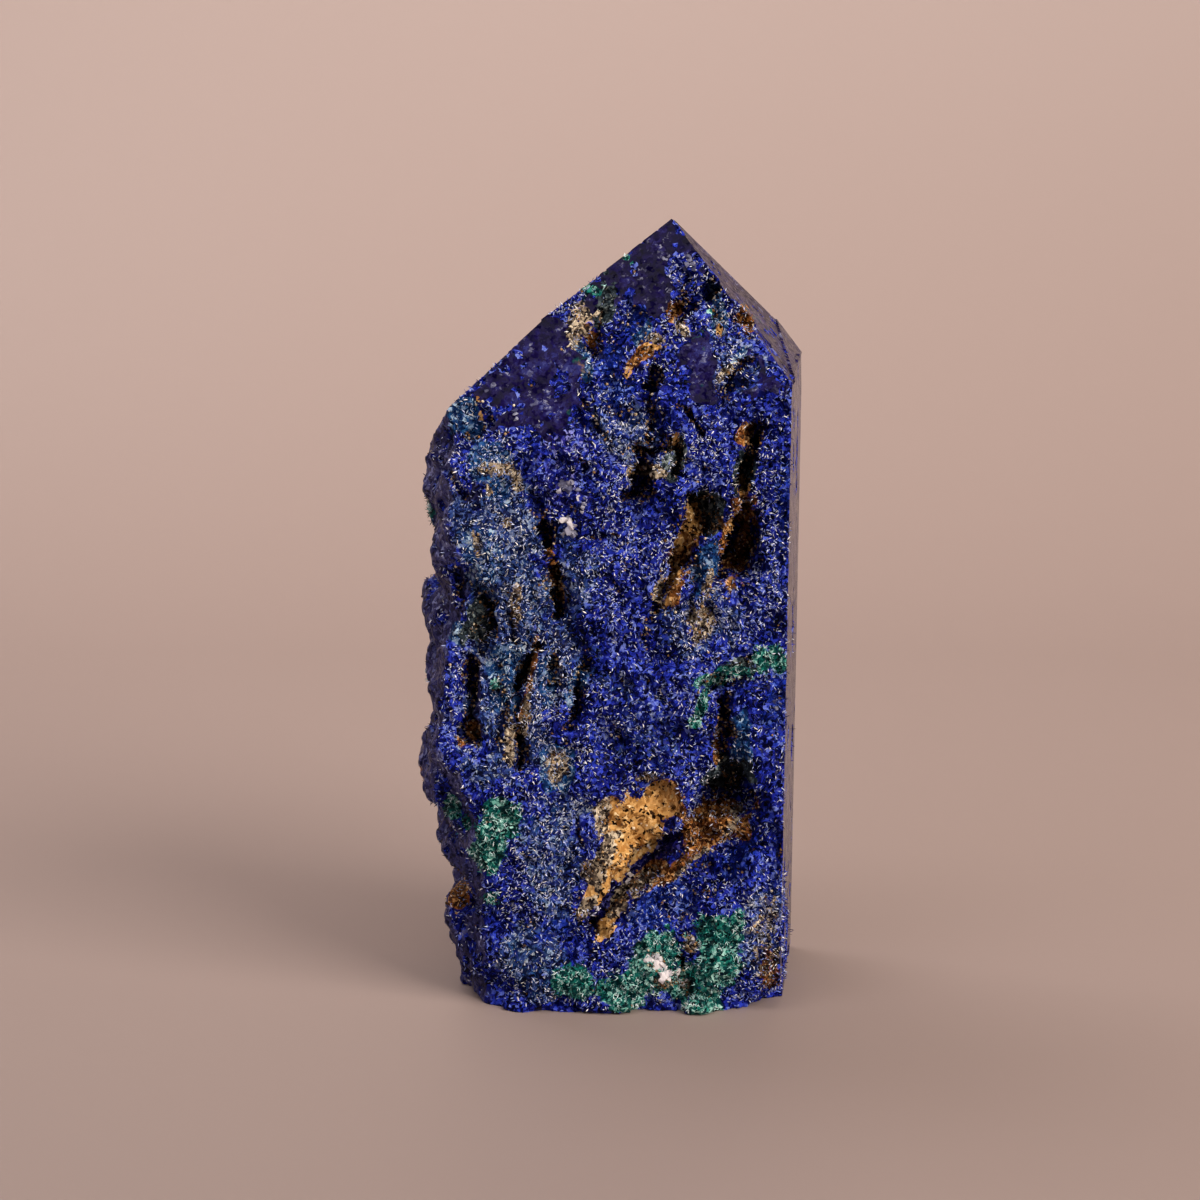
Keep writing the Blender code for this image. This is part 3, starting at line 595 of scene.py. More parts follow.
@dataclass
class OreBody:
    """The stone itself: rough ore and polished faces, as one closed mesh. Sizes in millimetres."""

    grain: float = 0.27                  # a face of the rough skin
    least_sawn_area: float = 15.0        # a flat face of the solid is sawn if it is larger,
    least_polygon: float = 0.3           # and has a polygon of this area
    sawn_tolerance: float = 0.03         # how far its polygons may lie from one plane,
    sawn_cosine: float = 0.99995         # and turn from one another
    front_normal_y: float = -0.97        # flats that face straight ahead are ore worn flat
    flat_reach: float = 0.62             # points this near a sawn plane, in faces, are set on it,
    on_face: float = 0.02                # and then lie this near
    smoothing: int = 3
    swells: tuple[Swell, ...] = (Swell(2.6, 0.20), Swell(1.2, 0.16), Swell(0.6, 0.10))
    facet_size: float = 1.1              # blocky crystals that the broken surface shows
    facet_tilt: float = 0.36
    fabric_swell: Swell = Swell(2.0, 0.22)
    fabric_stretch: float = 3.0
    fabric_lean: float = 14.0            # the fabric's upper ends lean towards +X
    warps: tuple[Swell, ...] = (Swell(2.4, 0.55), Swell(1.0, 0.28))
    warp_rounds: int = 8                 # how softly the warp fades towards the sawn faces
    torn_sink: float = 0.16              # how far the facet's broken parts lie below its polish
    left_out: Spots = Spots(0.8, 0.84, 15)       # spots that the wheel left out of the facet,
    broken_out: Spots = Spots(2.2, 0.78, 16)     # and larger ones, but none around the tip
    whole_above: float = 73.5
    tear_wave: float = 1.5               # small places where the polish tore out, in clusters
    tear_rare: float = 0.87
    tear_cluster: float = 7.0
    pit_spacing: float = 2.3
    pit_share: float = 0.42
    pit_radius: tuple[float, float] = (0.30, 0.65)
    pit_depth: float = 0.55
    pad_pit_spacing: float = 1.1         # the smooth limonite's pits are smaller,
    pad_pit_depth: float = 0.6           # and this deep against the others
    pad_relief: float = 0.35             # how much of the relief the smooth limonite keeps,
    pad_filling: float = 0.7             # and how much of a crevice it fills
    under_cut: float = 0.03              # how far the rough skin stays below the polish
    most_triangles: int = 186_000
    cavity_reach: float = 5.0
    low_relief: float = 0.0              # below this height the relief counts as a crevice
    low_shade: float = 0.32              # what a crevice adds to how closed in the skin is, which deepens its painted shade
    flank_x: float = -13.0
    flank_relief: float = 0.45           # how much of the relief the left side keeps
    flank_bare: float = 0.7              # how many of its crystals it lacks
    upper_from: float = 40.0             # the crust's upper half starts here
    front_y: float = -3.0
    back_share: float = 0.6              # how thickly crystals grow behind that, against the front
    bare_below: float = 0.85             # no crystals stand on the skin next to the floor
    glint_share: float = 0.40            # how thickly the needles of painted glints stand on the whole,
    glint_swell: Swell = Swell(3.0, 0.65)        # and how much more or less in places
    cream_crumbs: float = 0.6            # how thickly crumbs lie on the clay,
    rim_crumbs: float = 0.45             # and along the rims of the limonite

    def merged_solid(self) -> bpy.types.Mesh:
        """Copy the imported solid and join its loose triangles.

        Returns:
            The copy.
        """
        shape = bmesh.new()
        shape.from_mesh(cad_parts[NODE].data)
        bmesh.ops.remove_doubles(shape, verts=shape.verts[:], dist=0.002 * MM)
        return finished_mesh(shape, "merged_solid")

    def sawn_faces(self, solid: bpy.types.Mesh) -> tuple[list[SawnFace], np.ndarray]:
        """Find the large flat faces of the solid.

        Args:
            solid: The merged solid.

        Returns:
            The faces, and for each polygon of the solid the number of its face, or -1.
        """
        normals = read_rows(solid.polygons, "normal")
        offsets = (read_rows(solid.polygons, "center") / MM * normals).sum(axis=1)
        areas = read_rows(solid.polygons, "area", 1) / MM ** 2
        owner = np.full(len(areas), -1)
        faces: list[SawnFace] = []
        for index in np.argsort(-areas):
            if owner[index] >= 0 or areas[index] < self.least_polygon:
                continue
            flat = (normals @ normals[index] > self.sawn_cosine) & (owner < 0)
            flat &= np.abs(offsets - offsets[index]) < self.sawn_tolerance
            if areas[flat].sum() < self.least_sawn_area:
                continue
            if normals[index, 1] < self.front_normal_y:
                continue
            owner[flat] = len(faces)
            faces.append(SawnFace(normals[index].copy(), float(offsets[index])))
        return faces, owner

    def remeshed(self, solid: bpy.types.Mesh) -> bpy.types.Mesh:
        """Give the solid an even skin of small faces.

        Args:
            solid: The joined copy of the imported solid.

        Returns:
            The skin.
        """
        source = add_object("ore_source", solid)
        skin = source.modifiers.new("skin", 'REMESH')
        skin.mode = 'VOXEL'
        skin.voxel_size = self.grain * MM
        mesh = plain_mesh(source, "ore")
        bpy.data.objects.remove(source, do_unlink=True)
        return mesh

    def sawn_points(self, solid: bpy.types.Mesh, owner: np.ndarray,
                    points: np.ndarray) -> np.ndarray:
        """Say which points of the new skin lie on a sawn face of the solid.

        Args:
            solid: The merged solid.
            owner: The sawn face of each of its polygons, or -1.
            points: The points, in millimetres.

        Returns:
            True for each point on a sawn face.
        """
        tree = search_tree(solid)
        found = [tree.find_nearest(Vector(point) * MM)[2] for point in points]
        return owner[np.array(found)] >= 0

    def warp(self, points: np.ndarray) -> np.ndarray:
        """How far each point of the rough skin slides, which breaks up smooth rims.

        Args:
            points: Places in millimetres.

        Returns:
            Three numbers for each point, in millimetres.
        """
        slide = np.zeros_like(points)
        for number, swell in enumerate(self.warps):
            for axis in range(3):
                slide[:, axis] += swell.lift(points, 101 + 3 * number + axis)
        return slide * self.calm(points)[:, None]

    def calm(self, points: np.ndarray) -> np.ndarray:
        """How much of the relief the natural left side keeps, which is worn smoother."""
        worn = smoothstep(self.flank_x + 0.5, self.flank_x - 2.5, points[:, 0])
        return 1.0 - (1.0 - self.flank_relief) * worn

    def gashes(self, points: np.ndarray) -> np.ndarray:
        """How deep the narrow crevices of the front are at each point.

        Args:
            points: Places in millimetres.

        Returns:
            One depth for each point, in millimetres.
        """
        wander = 0.9 * (value_noise(points, 1.3, 111) - 0.5)
        x = points[:, 0] + wander
        z = points[:, 2]
        deepest = np.zeros(len(points))
        for gash in GASHES:
            right = gash.foot_x - gash.top_x
            up = gash.foot_z - gash.top_z
            share = (x - gash.top_x) * right + (z - gash.top_z) * up
            share = np.clip(share / (right * right + up * up), 0.0, 1.0)
            gap = np.hypot(x - gash.top_x - share * right, z - gash.top_z - share * up)
            half = gash.width / 2.0 * (0.35 + 1.2 * value_noise(points, 0.9, 112))
            deepest = np.maximum(deepest, gash.depth * smoothstep(1.25, 0.6, gap / half))
        return deepest * (points[:, 1] < 0.5)

    def fabric(self, points: np.ndarray) -> np.ndarray:
        """How high the long lumps are that run up the stone, all leaning one way.

        Args:
            points: Places in millimetres.

        Returns:
            One height for each point, in millimetres.
        """
        lean = math.radians(self.fabric_lean)
        across = points[:, 0] * math.cos(lean) - points[:, 2] * math.sin(lean)
        along = points[:, 0] * math.sin(lean) + points[:, 2] * math.cos(lean)
        stretched = np.stack([across, points[:, 1], along / self.fabric_stretch], axis=1)
        noise = value_noise(stretched, self.fabric_swell.wave, 121)
        ridge = 1.0 - np.abs(2.0 * noise - 1.0) * 2.0
        return self.fabric_swell.height * ridge

    def relief(self, points: np.ndarray) -> np.ndarray:
        """How far the rough skin is moved outwards at each point.

        Args:
            points: Places in millimetres.

        Returns:
            One way for each point, in millimetres.
        """
        shift = self.fabric(points)
        for number, swell in enumerate(self.swells):
            shift += swell.lift(points, 11 + number)
        way, cell = nearest_grain(points, self.facet_size, 31)
        slope = np.stack([lattice_random(cell, 41 + axis) - 0.5 for axis in range(3)], axis=1)
        shift += self.facet_tilt * 2.0 * (way * slope).sum(axis=1)
        pad = patch_cover(points, Mineral.OCHRE)
        shift *= (1.0 - (1.0 - self.pad_relief) * pad) * self.calm(points)
        shift -= self.pits(points, self.pit_spacing, 61) * (1.0 - pad)
        shift -= self.pits(points, self.pad_pit_spacing, 71) * self.pad_pit_depth * pad
        return shift - self.gashes(points) * (1.0 - self.pad_filling * pad)

    def polish(self, points: np.ndarray) -> np.ndarray:
        """Where the wheel reached the front facet, from 0 to 1, with the spots it left out."""
        gaps = self.broken_out.there(points) & (points[:, 2] < self.whole_above)
        return patch_cover(points, Mineral.POLISH) * ~self.left_out.there(points) * ~gaps

    def tears(self, points: np.ndarray) -> np.ndarray:
        """Say at which points of the polished sides the polish tore out."""
        rare = self.tear_rare + 0.5 * (0.5 - blotches(points, self.tear_cluster, 17))
        return blotches(points, self.tear_wave, 18) > rare

    def pits(self, points: np.ndarray, spacing: float, seed: int) -> np.ndarray:
        """How deep the small pits are at each point, in millimetres.

        Args:
            points: The points, in millimetres.
            spacing: The size of the cells that hold one pit at most.
            seed: Which pits.

        Returns:
            The depth at each point, 0 where there is no pit.
        """
        way, cell = nearest_grain(points, spacing, seed)
        low, high = self.pit_radius
        radius = low + (high - low) * lattice_random(cell, seed + 5)
        there = lattice_random(cell, seed + 6) < self.pit_share
        distance = np.sqrt((way * way).sum(axis=1)) / radius
        return np.where(there, self.pit_depth * smoothstep(1.15, 0.5, distance), 0.0)

    def shaped(self, mesh: bpy.types.Mesh, faces: list[SawnFace], sawn: np.ndarray) -> None:
        """Flatten the sawn faces and raise the relief of the rough ones.

        Args:
            mesh: The skin, which is changed.
            faces: The sawn faces.
            sawn: Which of its points lie on a sawn face.
        """
        points = read_rows(mesh.vertices, "co") / MM
        for _ in range(2):
            for face in faces:
                height = face.height(points)
                near = sawn & (np.abs(height) < self.flat_reach * self.grain)
                points[near] -= height[near, None] * face.normal
        ends = read_rows(mesh.edges, "vertices", 2, np.int32).T
        points = spread(points, ends, ~sawn, self.smoothing)
        free = spread((~sawn)[:, None].astype(float), ends, ~sawn, self.warp_rounds)
        set_vertices(mesh, points)
        normals = read_rows(mesh.vertex_normals, "vector")
        shift = self.relief(points)
        front = [face for face in faces if face.normal[1] < -0.5]
        torn = sawn & self.on_faces(points, front).any(axis=1)
        torn &= self.polish(points) < 0.5
        shift[torn] -= self.torn_sink
        standing = [face for face in faces if abs(face.normal[2]) < 0.9 and face.normal[1] > -0.5]
        pitted = sawn & self.on_faces(points, standing).any(axis=1) & self.tears(points)
        shift[pitted] -= self.torn_sink
        torn |= pitted
        set_attribute(mesh, "pitted", pitted.astype(float))
        rough = ~sawn | torn
        points += self.warp(points) * smoothstep(0.6, 1.0, free)
        points[rough] += normals[rough] * shift[rough, None]
        for face in faces:
            height = face.height(points) + self.under_cut
            over = rough & (height > 0.0)
            points[over] -= height[over, None] * face.normal
        set_vertices(mesh, points)
        set_attribute(mesh, "sawn", (~rough).astype(float))

    def thinned(self, mesh: bpy.types.Mesh) -> bpy.types.Mesh:
        """Take away faces that the flat parts don't need.

        Args:
            mesh: The carved skin.

        Returns:
            The skin with fewer faces.
        """
        source = add_object("ore_thick", mesh)
        triangles = 2 * len(mesh.polygons)
        thin = source.modifiers.new("thin", 'DECIMATE')
        thin.ratio = min(self.most_triangles / triangles, 1.0)
        thin.use_collapse_triangulate = True
        thinned = plain_mesh(source, "azurite_ore")
        bpy.data.objects.remove(source, do_unlink=True)
        return thinned

    def cavity(self, mesh: bpy.types.Mesh, points: np.ndarray, normals: np.ndarray) -> np.ndarray:
        """How closed in the skin is at each point, from 0 in the open to 1 deep in a hollow.

        Args:
            mesh: The skin.
            points: Its points, in millimetres.
            normals: The way that it faces at each.

        Returns:
            One number for each point.
        """
        tree = search_tree(mesh)
        fan = [Vector(direction).normalized() for direction in (
            (0.0, 0.0, 1.0), (0.9, 0.0, 0.7), (-0.9, 0.0, 0.7), (0.0, 0.9, 0.7),
            (0.0, -0.9, 0.7), (0.7, 0.7, 0.5), (-0.7, 0.7, 0.5), (0.7, -0.7, 0.5),
            (-0.7, -0.7, 0.5))]
        up = Vector((0.0, 0.0, 1.0))
        blocked = np.zeros(len(points))
        reach = self.cavity_reach * MM
        for index, (point, normal) in enumerate(zip(points * MM, normals)):
            out = Vector(normal)
            turn = up.rotation_difference(out)
            start = Vector(point) + out * 0.05 * MM
            hits = 0
            for direction in fan:
                ray = direction.copy()
                ray.rotate(turn)
                if tree.ray_cast(start, ray, reach)[0] is not None:
                    hits += 1
            blocked[index] = hits / len(fan)
        return blocked

    def on_faces(self, points: np.ndarray, faces: list[SawnFace]) -> np.ndarray:
        """Say for each point and each sawn face whether the point lies on it."""
        return np.stack([np.abs(face.height(points)) < self.on_face for face in faces], axis=1)

    def survey(self, mesh: bpy.types.Mesh) -> Skin:
        """Find what the minerals and crystals go by at each point of the finished skin.

        Args:
            mesh: The finished skin.

        Returns:
            What is known of its points.
        """
        points = read_rows(mesh.vertices, "co") / MM
        normals = read_rows(mesh.vertex_normals, "vector")
        sawn = read_rows(mesh.attributes["sawn"].data, "value", 1) > 0.5
        rough = ~sawn & (read_rows(mesh.attributes["pitted"].data, "value", 1) < 0.1)
        enclosed = self.cavity(mesh, points, normals)
        low = smoothstep(self.low_relief, self.low_relief - 0.5, self.relief(points))
        flank = smoothstep(-0.25, -0.75, normals[:, 0]) * smoothstep(
            self.flank_x + 2.0, self.flank_x - 2.0, points[:, 0])
        return Skin(points, normals, sawn, rough, enclosed,
                    enclosed + self.low_shade * low * ~sawn, flank)

    def dress(self, mesh: bpy.types.Mesh, skin: Skin) -> None:
        """Store where each mineral is and how closed in each point is for the painted shade, and tell
        the polished polygons from the rough ones.

        Args:
            mesh: The finished skin.
            skin: What is known of its points.
        """
        # How closed in each point is, which the ore's colours turn into painted shade
        set_attribute(mesh, "cavity", skin.cavity)
        for mineral in Mineral:
            if mineral not in PLACED_APART:
                set_attribute(mesh, mineral.value, patch_cover(skin.points, mineral))
        # The left side's dull violet-grey tint is partly painted shade of the side turned from the key
        wild = value_noise(skin.points, 3.0, 91)
        set_attribute(mesh, Mineral.FLANK.value,
                      np.clip(skin.flank + 0.5 * (wild - 0.5) * skin.flank, 0, 1))
        flat = skin.sawn[read_rows(mesh.polygons, "vertices", 3, np.int32)].all(axis=1)
        mesh.polygons.foreach_set("material_index", flat.astype(np.int32))
        mesh.polygons.foreach_set("use_smooth", ~flat)

    def sow(self, mesh: bpy.types.Mesh, skin: Skin) -> None:
        """Store how thickly each kind of crystal stands.

        Args:
            mesh: The finished skin.
            skin: What is known of its points.
        """
        points = skin.points
        height = points[:, 2]
        rough = skin.rough * (height > self.bare_below)
        green = patch_cover(points, Mineral.MALACHITE)
        bare = rough * (1.0 - patch_cover(points, Mineral.OCHRE)) * (1.0 - green)
        bare *= 1.0 - self.flank_bare * skin.flank
        bare *= smoothstep(1.0, 0.5, skin.cavity) * smoothstep(-0.85, -0.35, skin.normals[:, 0])
        bare *= np.where(points[:, 1] < self.front_y, 1.0, self.back_share)
        set_attribute(mesh, "druse_upper", bare * (height >= self.upper_from))
        set_attribute(mesh, "druse_lower", bare * (height < self.upper_from))
        glints = self.glint_share + self.glint_swell.lift(points, 151)
        for mineral, share in GLINT_SHARES.items():
            glints += share * patch_cover(points, mineral)
        set_attribute(mesh, "glints", bare * front_share(points) * np.clip(glints, 0.1, 1.0))
        set_attribute(mesh, "green_tufts", green * rough)
        crumbs = np.maximum(self.cream_crumbs * patch_cover(points, Mineral.CREAM),
                            self.rim_crumbs * patch_edge(points))
        hollow = smoothstep(0.5, 0.8, skin.enclosed) * (points[:, 1] < self.front_y)
        crumbs = np.maximum(crumbs, hollow * (value_noise(points, 1.4, 131) > 0.36))
        crumbs *= 1.0 - patch_cover(points, Mineral.INDIGO)
        set_attribute(mesh, "crumbs", crumbs * rough)

    def build(self) -> bpy.types.Object:
        """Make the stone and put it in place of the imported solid.

        Returns:
            The stone's object.
        """
        solid = self.merged_solid()
        faces, owner = self.sawn_faces(solid)
        log.info("sawn faces: %d", len(faces))
        mesh = self.remeshed(solid)
        sawn = self.sawn_points(solid, owner, read_rows(mesh.vertices, "co") / MM)
        self.shaped(mesh, faces, sawn)
        mesh = self.thinned(mesh)
        mesh.materials.clear()
        mesh.materials.append(RawOre().build())
        mesh.materials.append(PolishedOre().build())
        skin = self.survey(mesh)
        self.dress(mesh, skin)
        self.sow(mesh, skin)
        return add_object("azurite_ore", mesh)


def patch_reach(points: np.ndarray, patch: Patch) -> np.ndarray:
    """How far out of a patch each point lies: 0 in its middle and 1 on its rim.

    Args:
        points: Places in millimetres.
        patch: The patch.

    Returns:
        One number for each point.
    """
    lean = math.radians(patch.lean)
    right = points[:, 0] - patch.x
    up = points[:, 2] - patch.z
    along = right * math.sin(lean) + up * math.cos(lean)
    across = right * math.cos(lean) - up * math.sin(lean)
    return np.hypot(along / (patch.length / 2.0), across / (patch.width / 2.0))


def front_share(points: np.ndarray) -> np.ndarray:
    """How much each point belongs to the front, whose facet slopes back above its foot."""
    depth = points[:, 1] - 0.33 * np.maximum(points[:, 2] - 58.0, 0.0)
    return smoothstep(-2.5, -5.0, depth + 3.0 * (value_noise(points, 2.2, 8) - 0.5))


def patch_cover(points: np.ndarray, mineral: Mineral) -> np.ndarray:
    """How much of a mineral there is at each point, from 0 to 1.

    Args:
        points: Places in millimetres.
        mineral: The mineral.

    Returns:
        One number for each point.
    """
    ragged = (0.45 * value_noise(points, 0.7, 5) + 0.55 * value_noise(points, 1.5, 6)
              + 0.85 * value_noise(points, 3.1, 7) - 0.925)
    cover = np.zeros(len(points))
    for patch in PATCHES[mineral]:
        inside = smoothstep(1.25, 0.75, patch_reach(points, patch) + ragged)
        cover = np.maximum(cover, inside * patch.strength)
    cover *= front_share(points)
    if mineral in STRAYS:
        wave, rare, seed = STRAYS[mineral]
        stray = smoothstep(rare - 0.04, rare + 0.06, blotches(points, wave, seed))
        away = (1.0 - front_share(points)) * smoothstep(14.0, 10.0, points[:, 0])
        cover = np.maximum(cover, stray * away)
    return cover


def patch_edge(points: np.ndarray) -> np.ndarray:
    """Where limonite crumbles: along the rims of its patches on the front, from 0 to 1.

    Args:
        points: Places in millimetres.

    Returns:
        One number for each point.
    """
    rim = np.zeros(len(points))
    for patch in PATCHES[Mineral.OCHRE] + PATCHES[Mineral.RUST]:
        rim = np.maximum(rim, 1.0 - np.abs(patch_reach(points, patch) - 1.05) / 0.3)
    return np.clip(rim, 0.0, 1.0) * front_share(points)


# A Mix node of colours has its sockets by number: factor, first, second, and the result
MIX_FACTOR, MIX_FIRST, MIX_SECOND, MIX_RESULT = 0, 6, 7, 2


Stops = tuple[tuple[float, str], ...]        # the colours of a ramp and where they stand


def add_ramp(tree: bpy.types.NodeTree, tone: bpy.types.NodeSocket,
             stops: Stops) -> bpy.types.NodeSocket:
    """Turn a tone into a colour.

    Args:
        tree: The material's tree.
        tone: A value from 0 to 1.
        stops: The colours, from the first to the last.

    Returns:
        The colour.
    """
    ramp = add_node(tree, "ShaderNodeValToRGB", {0: tone})
    elements = ramp.color_ramp.elements
    (first_at, first), *middle, (last_at, last) = stops
    elements[0].position, elements[0].color = first_at, linear(first)
    elements[1].position, elements[1].color = last_at, linear(last)
    for position, colour in middle:
        elements.new(position).color = linear(colour)
    return ramp.outputs[0]


def start_material(name: str, values: dict[str, Any]) -> tuple[
        bpy.types.Material, bpy.types.NodeTree, bpy.types.Node]:
    """Start a material.

    Args:
        name: What it is called.
        values: What its shader's own sockets are set to, by their names.

    Returns:
        The material, its tree and its shader.
    """
    material = bpy.data.materials.new(name)
    material.use_nodes = True
    shader = material.node_tree.nodes["Principled BSDF"]
    for socket, value in values.items():
        shader.inputs[socket].default_value = value
    return material, material.node_tree, shader


def add_millimetres(tree: bpy.types.NodeTree) -> bpy.types.NodeSocket:
    """Give Object coordinates in millimetres.

    Args:
        tree: The material's tree.

    Returns:
        The places.
    """
    place = add_node(tree, "ShaderNodeTexCoord")
    return add_node(tree, "ShaderNodeVectorMath",
                    {0: place.outputs["Object"], "Scale": 1.0 / MM}, operation='SCALE').outputs[0]


def add_wander(tree: bpy.types.NodeTree, place: bpy.types.NodeSocket, scale: float,
               reach: float) -> bpy.types.NodeSocket:
    """Move places about by noise, so that what is drawn there has wandering outlines.

    Args:
        tree: The material's tree.
        place: The places, in millimetres.
        scale: How many waves of the noise go in a millimetre.
        reach: How far a place moves, in millimetres.

    Returns:
        The new places.
    """
    noise = add_node(tree, "ShaderNodeTexNoise", {"Vector": place, "Scale": scale, "Detail": 2.0})
    centred = add_node(tree, "ShaderNodeVectorMath",
                       {0: noise.outputs["Color"], 1: (0.5, 0.5, 0.5)}, operation='SUBTRACT')
    return add_node(tree, "ShaderNodeVectorMath", {
        0: centred.outputs[0], 1: (reach * 4.0,) * 3, 2: place},
        operation='MULTIPLY_ADD').outputs[0]


def add_zones(tree: bpy.types.NodeTree, place: bpy.types.NodeSocket,
              own: bpy.types.NodeSocket, zone_mm: float, share: float, middle: float,
              detail: float = 2.0) -> bpy.types.NodeSocket:
    """Make the grains' tones darker in some zones and paler in others.

    Args:
        tree: The material's tree.
        place: The places, in millimetres.
        own: Each grain's own tone, from 0 to 1.
        zone_mm: How far it is from a darker zone to a paler one.
        share: How much the zones give.
        middle: What they give in the middle of their range, which is taken off again.
        detail: How many finer waves their noise has.

    Returns:
        The tone, from 0 to 1.
    """
    zone = add_node(tree, "ShaderNodeTexNoise", {
        "Vector": place, "Scale": 1.0 / zone_mm, "Detail": detail})
    tone = add_node(tree, "ShaderNodeMath", {0: zone.outputs[0], 1: share, 2: own},
                    operation='MULTIPLY_ADD')
    return add_node(tree, "ShaderNodeMath", {0: tone.outputs[0], 1: middle},
                    operation='SUBTRACT', use_clamp=True).outputs[0]


def add_lean(tree: bpy.types.NodeTree, draw: bpy.types.NodeSocket,
             tilt: float) -> bpy.types.NodeSocket:
    """Lean each crystal's face its own way.

    Args:
        tree: The material's tree.
        draw: Three random numbers for each crystal, as a colour.
        tilt: How far a face leans at most, as a share of the normal's length.

    Returns:
        The leaning normal.
    """
    surface = add_node(tree, "ShaderNodeNewGeometry")
    lean = add_node(tree, "ShaderNodeVectorMath",
                    {0: draw, 1: (0.5, 0.5, 0.5)}, operation='SUBTRACT')
    leaned = add_node(tree, "ShaderNodeVectorMath",
                      {0: lean.outputs[0], 1: (tilt,) * 3, 2: surface.outputs["Normal"]},
                      operation='MULTIPLY_ADD')
    return add_node(tree, "ShaderNodeVectorMath", {0: leaned.outputs[0]},
                    operation='NORMALIZE').outputs[0]


@dataclass(frozen=True)
class Tint:
    """The colours of one mineral's grains, from the darkest to the palest few; on the crystals these
    are painted glints.
    """

    mineral: Mineral
    stops: Stops
    ragged: float = 0.35         # how much its rim is broken up
    soft: float = 0.10
    even: bool = False           # whether it has no darker and paler zones


@dataclass(frozen=True)
class OreColours:
    """Azurite's own colours, those of the minerals that lie over it in patches, and the painted shade
    of its hollows.
    """

    azurite: Stops
    tints: tuple[Tint, ...]
    painted_shade: str = "060406"         # the painted shade that darkens the hollows and crevices,
    dark_from: float = 0.36      # from how closed in they are,
    darkest: float = 0.38        # and how much of it lies in the deepest

    def layered(self, tree: bpy.types.NodeTree, own: bpy.types.NodeSocket,
                tone: bpy.types.NodeSocket, place: bpy.types.NodeSocket) -> bpy.types.NodeSocket:
        """Colour each grain by its tone and by the mineral that lies there, then paint shade into the
        hollows.

        Args:
            tree: The material's tree.
            own: Each grain's own tone, from 0 to 1.
            tone: The same, darker in some zones and paler in others.
            place: Where it is, in millimetres.

        Returns:
            The colour.
        """
        noise = add_node(tree, "ShaderNodeTexNoise", {"Vector": place, "Scale": 1.6, "Detail": 3.0})
        colour = add_ramp(tree, tone, self.azurite)
        for tint in self.tints:
            there = add_node(tree, "ShaderNodeAttribute", attribute_name=tint.mineral.value)
            broken = add_node(tree, "ShaderNodeMath", {
                0: noise.outputs[0], 1: tint.ragged * 2.0, 2: there.outputs["Fac"]},
                operation='MULTIPLY_ADD')
            rim = 0.5 + tint.ragged
            cover = add_node(tree, "ShaderNodeMapRange", {
                "Value": broken.outputs[0], "From Min": rim - tint.soft,
                "From Max": rim + tint.soft}, interpolation_type='SMOOTHSTEP')
            colour = add_node(tree, "ShaderNodeMix", {
                MIX_FACTOR: cover.outputs[0], MIX_FIRST: colour,
                MIX_SECOND: add_ramp(tree, own if tint.even else tone, tint.stops)},
                data_type='RGBA').outputs[MIX_RESULT]
        # Painted shade: the more closed in the skin is, the more of the dark colour is mixed in
        cavity = add_node(tree, "ShaderNodeAttribute", attribute_name="cavity")
        depth = add_node(tree, "ShaderNodeMapRange", {
            "Value": cavity.outputs["Fac"], "From Min": self.dark_from, "From Max": 1.0,
            "To Max": self.darkest})
        return add_node(tree, "ShaderNodeMix", {
            MIX_FACTOR: depth.outputs[0], MIX_FIRST: colour, MIX_SECOND: linear(self.painted_shade)},
            data_type='RGBA').outputs[MIX_RESULT]


# The ore's own surface, which shows between the crystals that stand on it
GROUND = OreColours(
    ((0.0, "000014"), (0.40, "030744"), (0.66, "121C84"), (0.86, "283CB8"), (1.0, "6476C8")),
    (
        Tint(Mineral.DUST, ((0.0, "030414"), (0.4, "121A42"), (0.66, "203474"), (0.86, "405C98"),
                            (1.0, "98A4B4"))),
        # The worn left side: partly painted shade of the side turned from the key lamp
        Tint(Mineral.FLANK, ((0.0, "12122E"), (0.5, "302F5C"), (0.85, "4C4D80"), (1.0, "8084B0"))),
        Tint(Mineral.TEAL, ((0.0, "020E30"), (0.4, "0A2858"), (0.75, "1E5088"), (1.0, "A0B8CC"))),
        Tint(Mineral.VELVET, ((0.0, "010420"), (0.5, "06145C"), (0.85, "142E9C"),
                              (1.0, "5C78D0"))),
        Tint(Mineral.INDIGO, ((0.0, "020218"), (0.5, "0A0A44"), (0.85, "1C1A78"),
                              (1.0, "8080C4"))),
        # Painted shade in the hollows and pockets
        Tint(Mineral.SHADE, ((0.0, "06080E"), (0.5, "1C262E"), (0.85, "3C4A50"), (1.0, "808C88"))),
        Tint(Mineral.RUST, ((0.0, "120804"), (0.4, "502A12"), (0.75, "965E2A"), (1.0, "D8A468"))),
        Tint(Mineral.MALACHITE, ((0.0, "011014"), (0.4, "043438"), (0.75, "167668"),
                                 (1.0, "A8D8CC"))),
        Tint(Mineral.OCHRE, ((0.0, "120904"), (0.12, "2A170A"), (0.17, "A87438"), (0.55, "CA9856"),
                             (0.9, "DCAF6E"), (1.0, "ECD09C")), 0.42, 0.06, True),
        Tint(Mineral.CREAM, ((0.0, "0E0A14"), (0.35, "3C3430"), (0.65, "8A7A64"), (1.0, "DCCCB0")),
             0.7, 0.08),
    ))
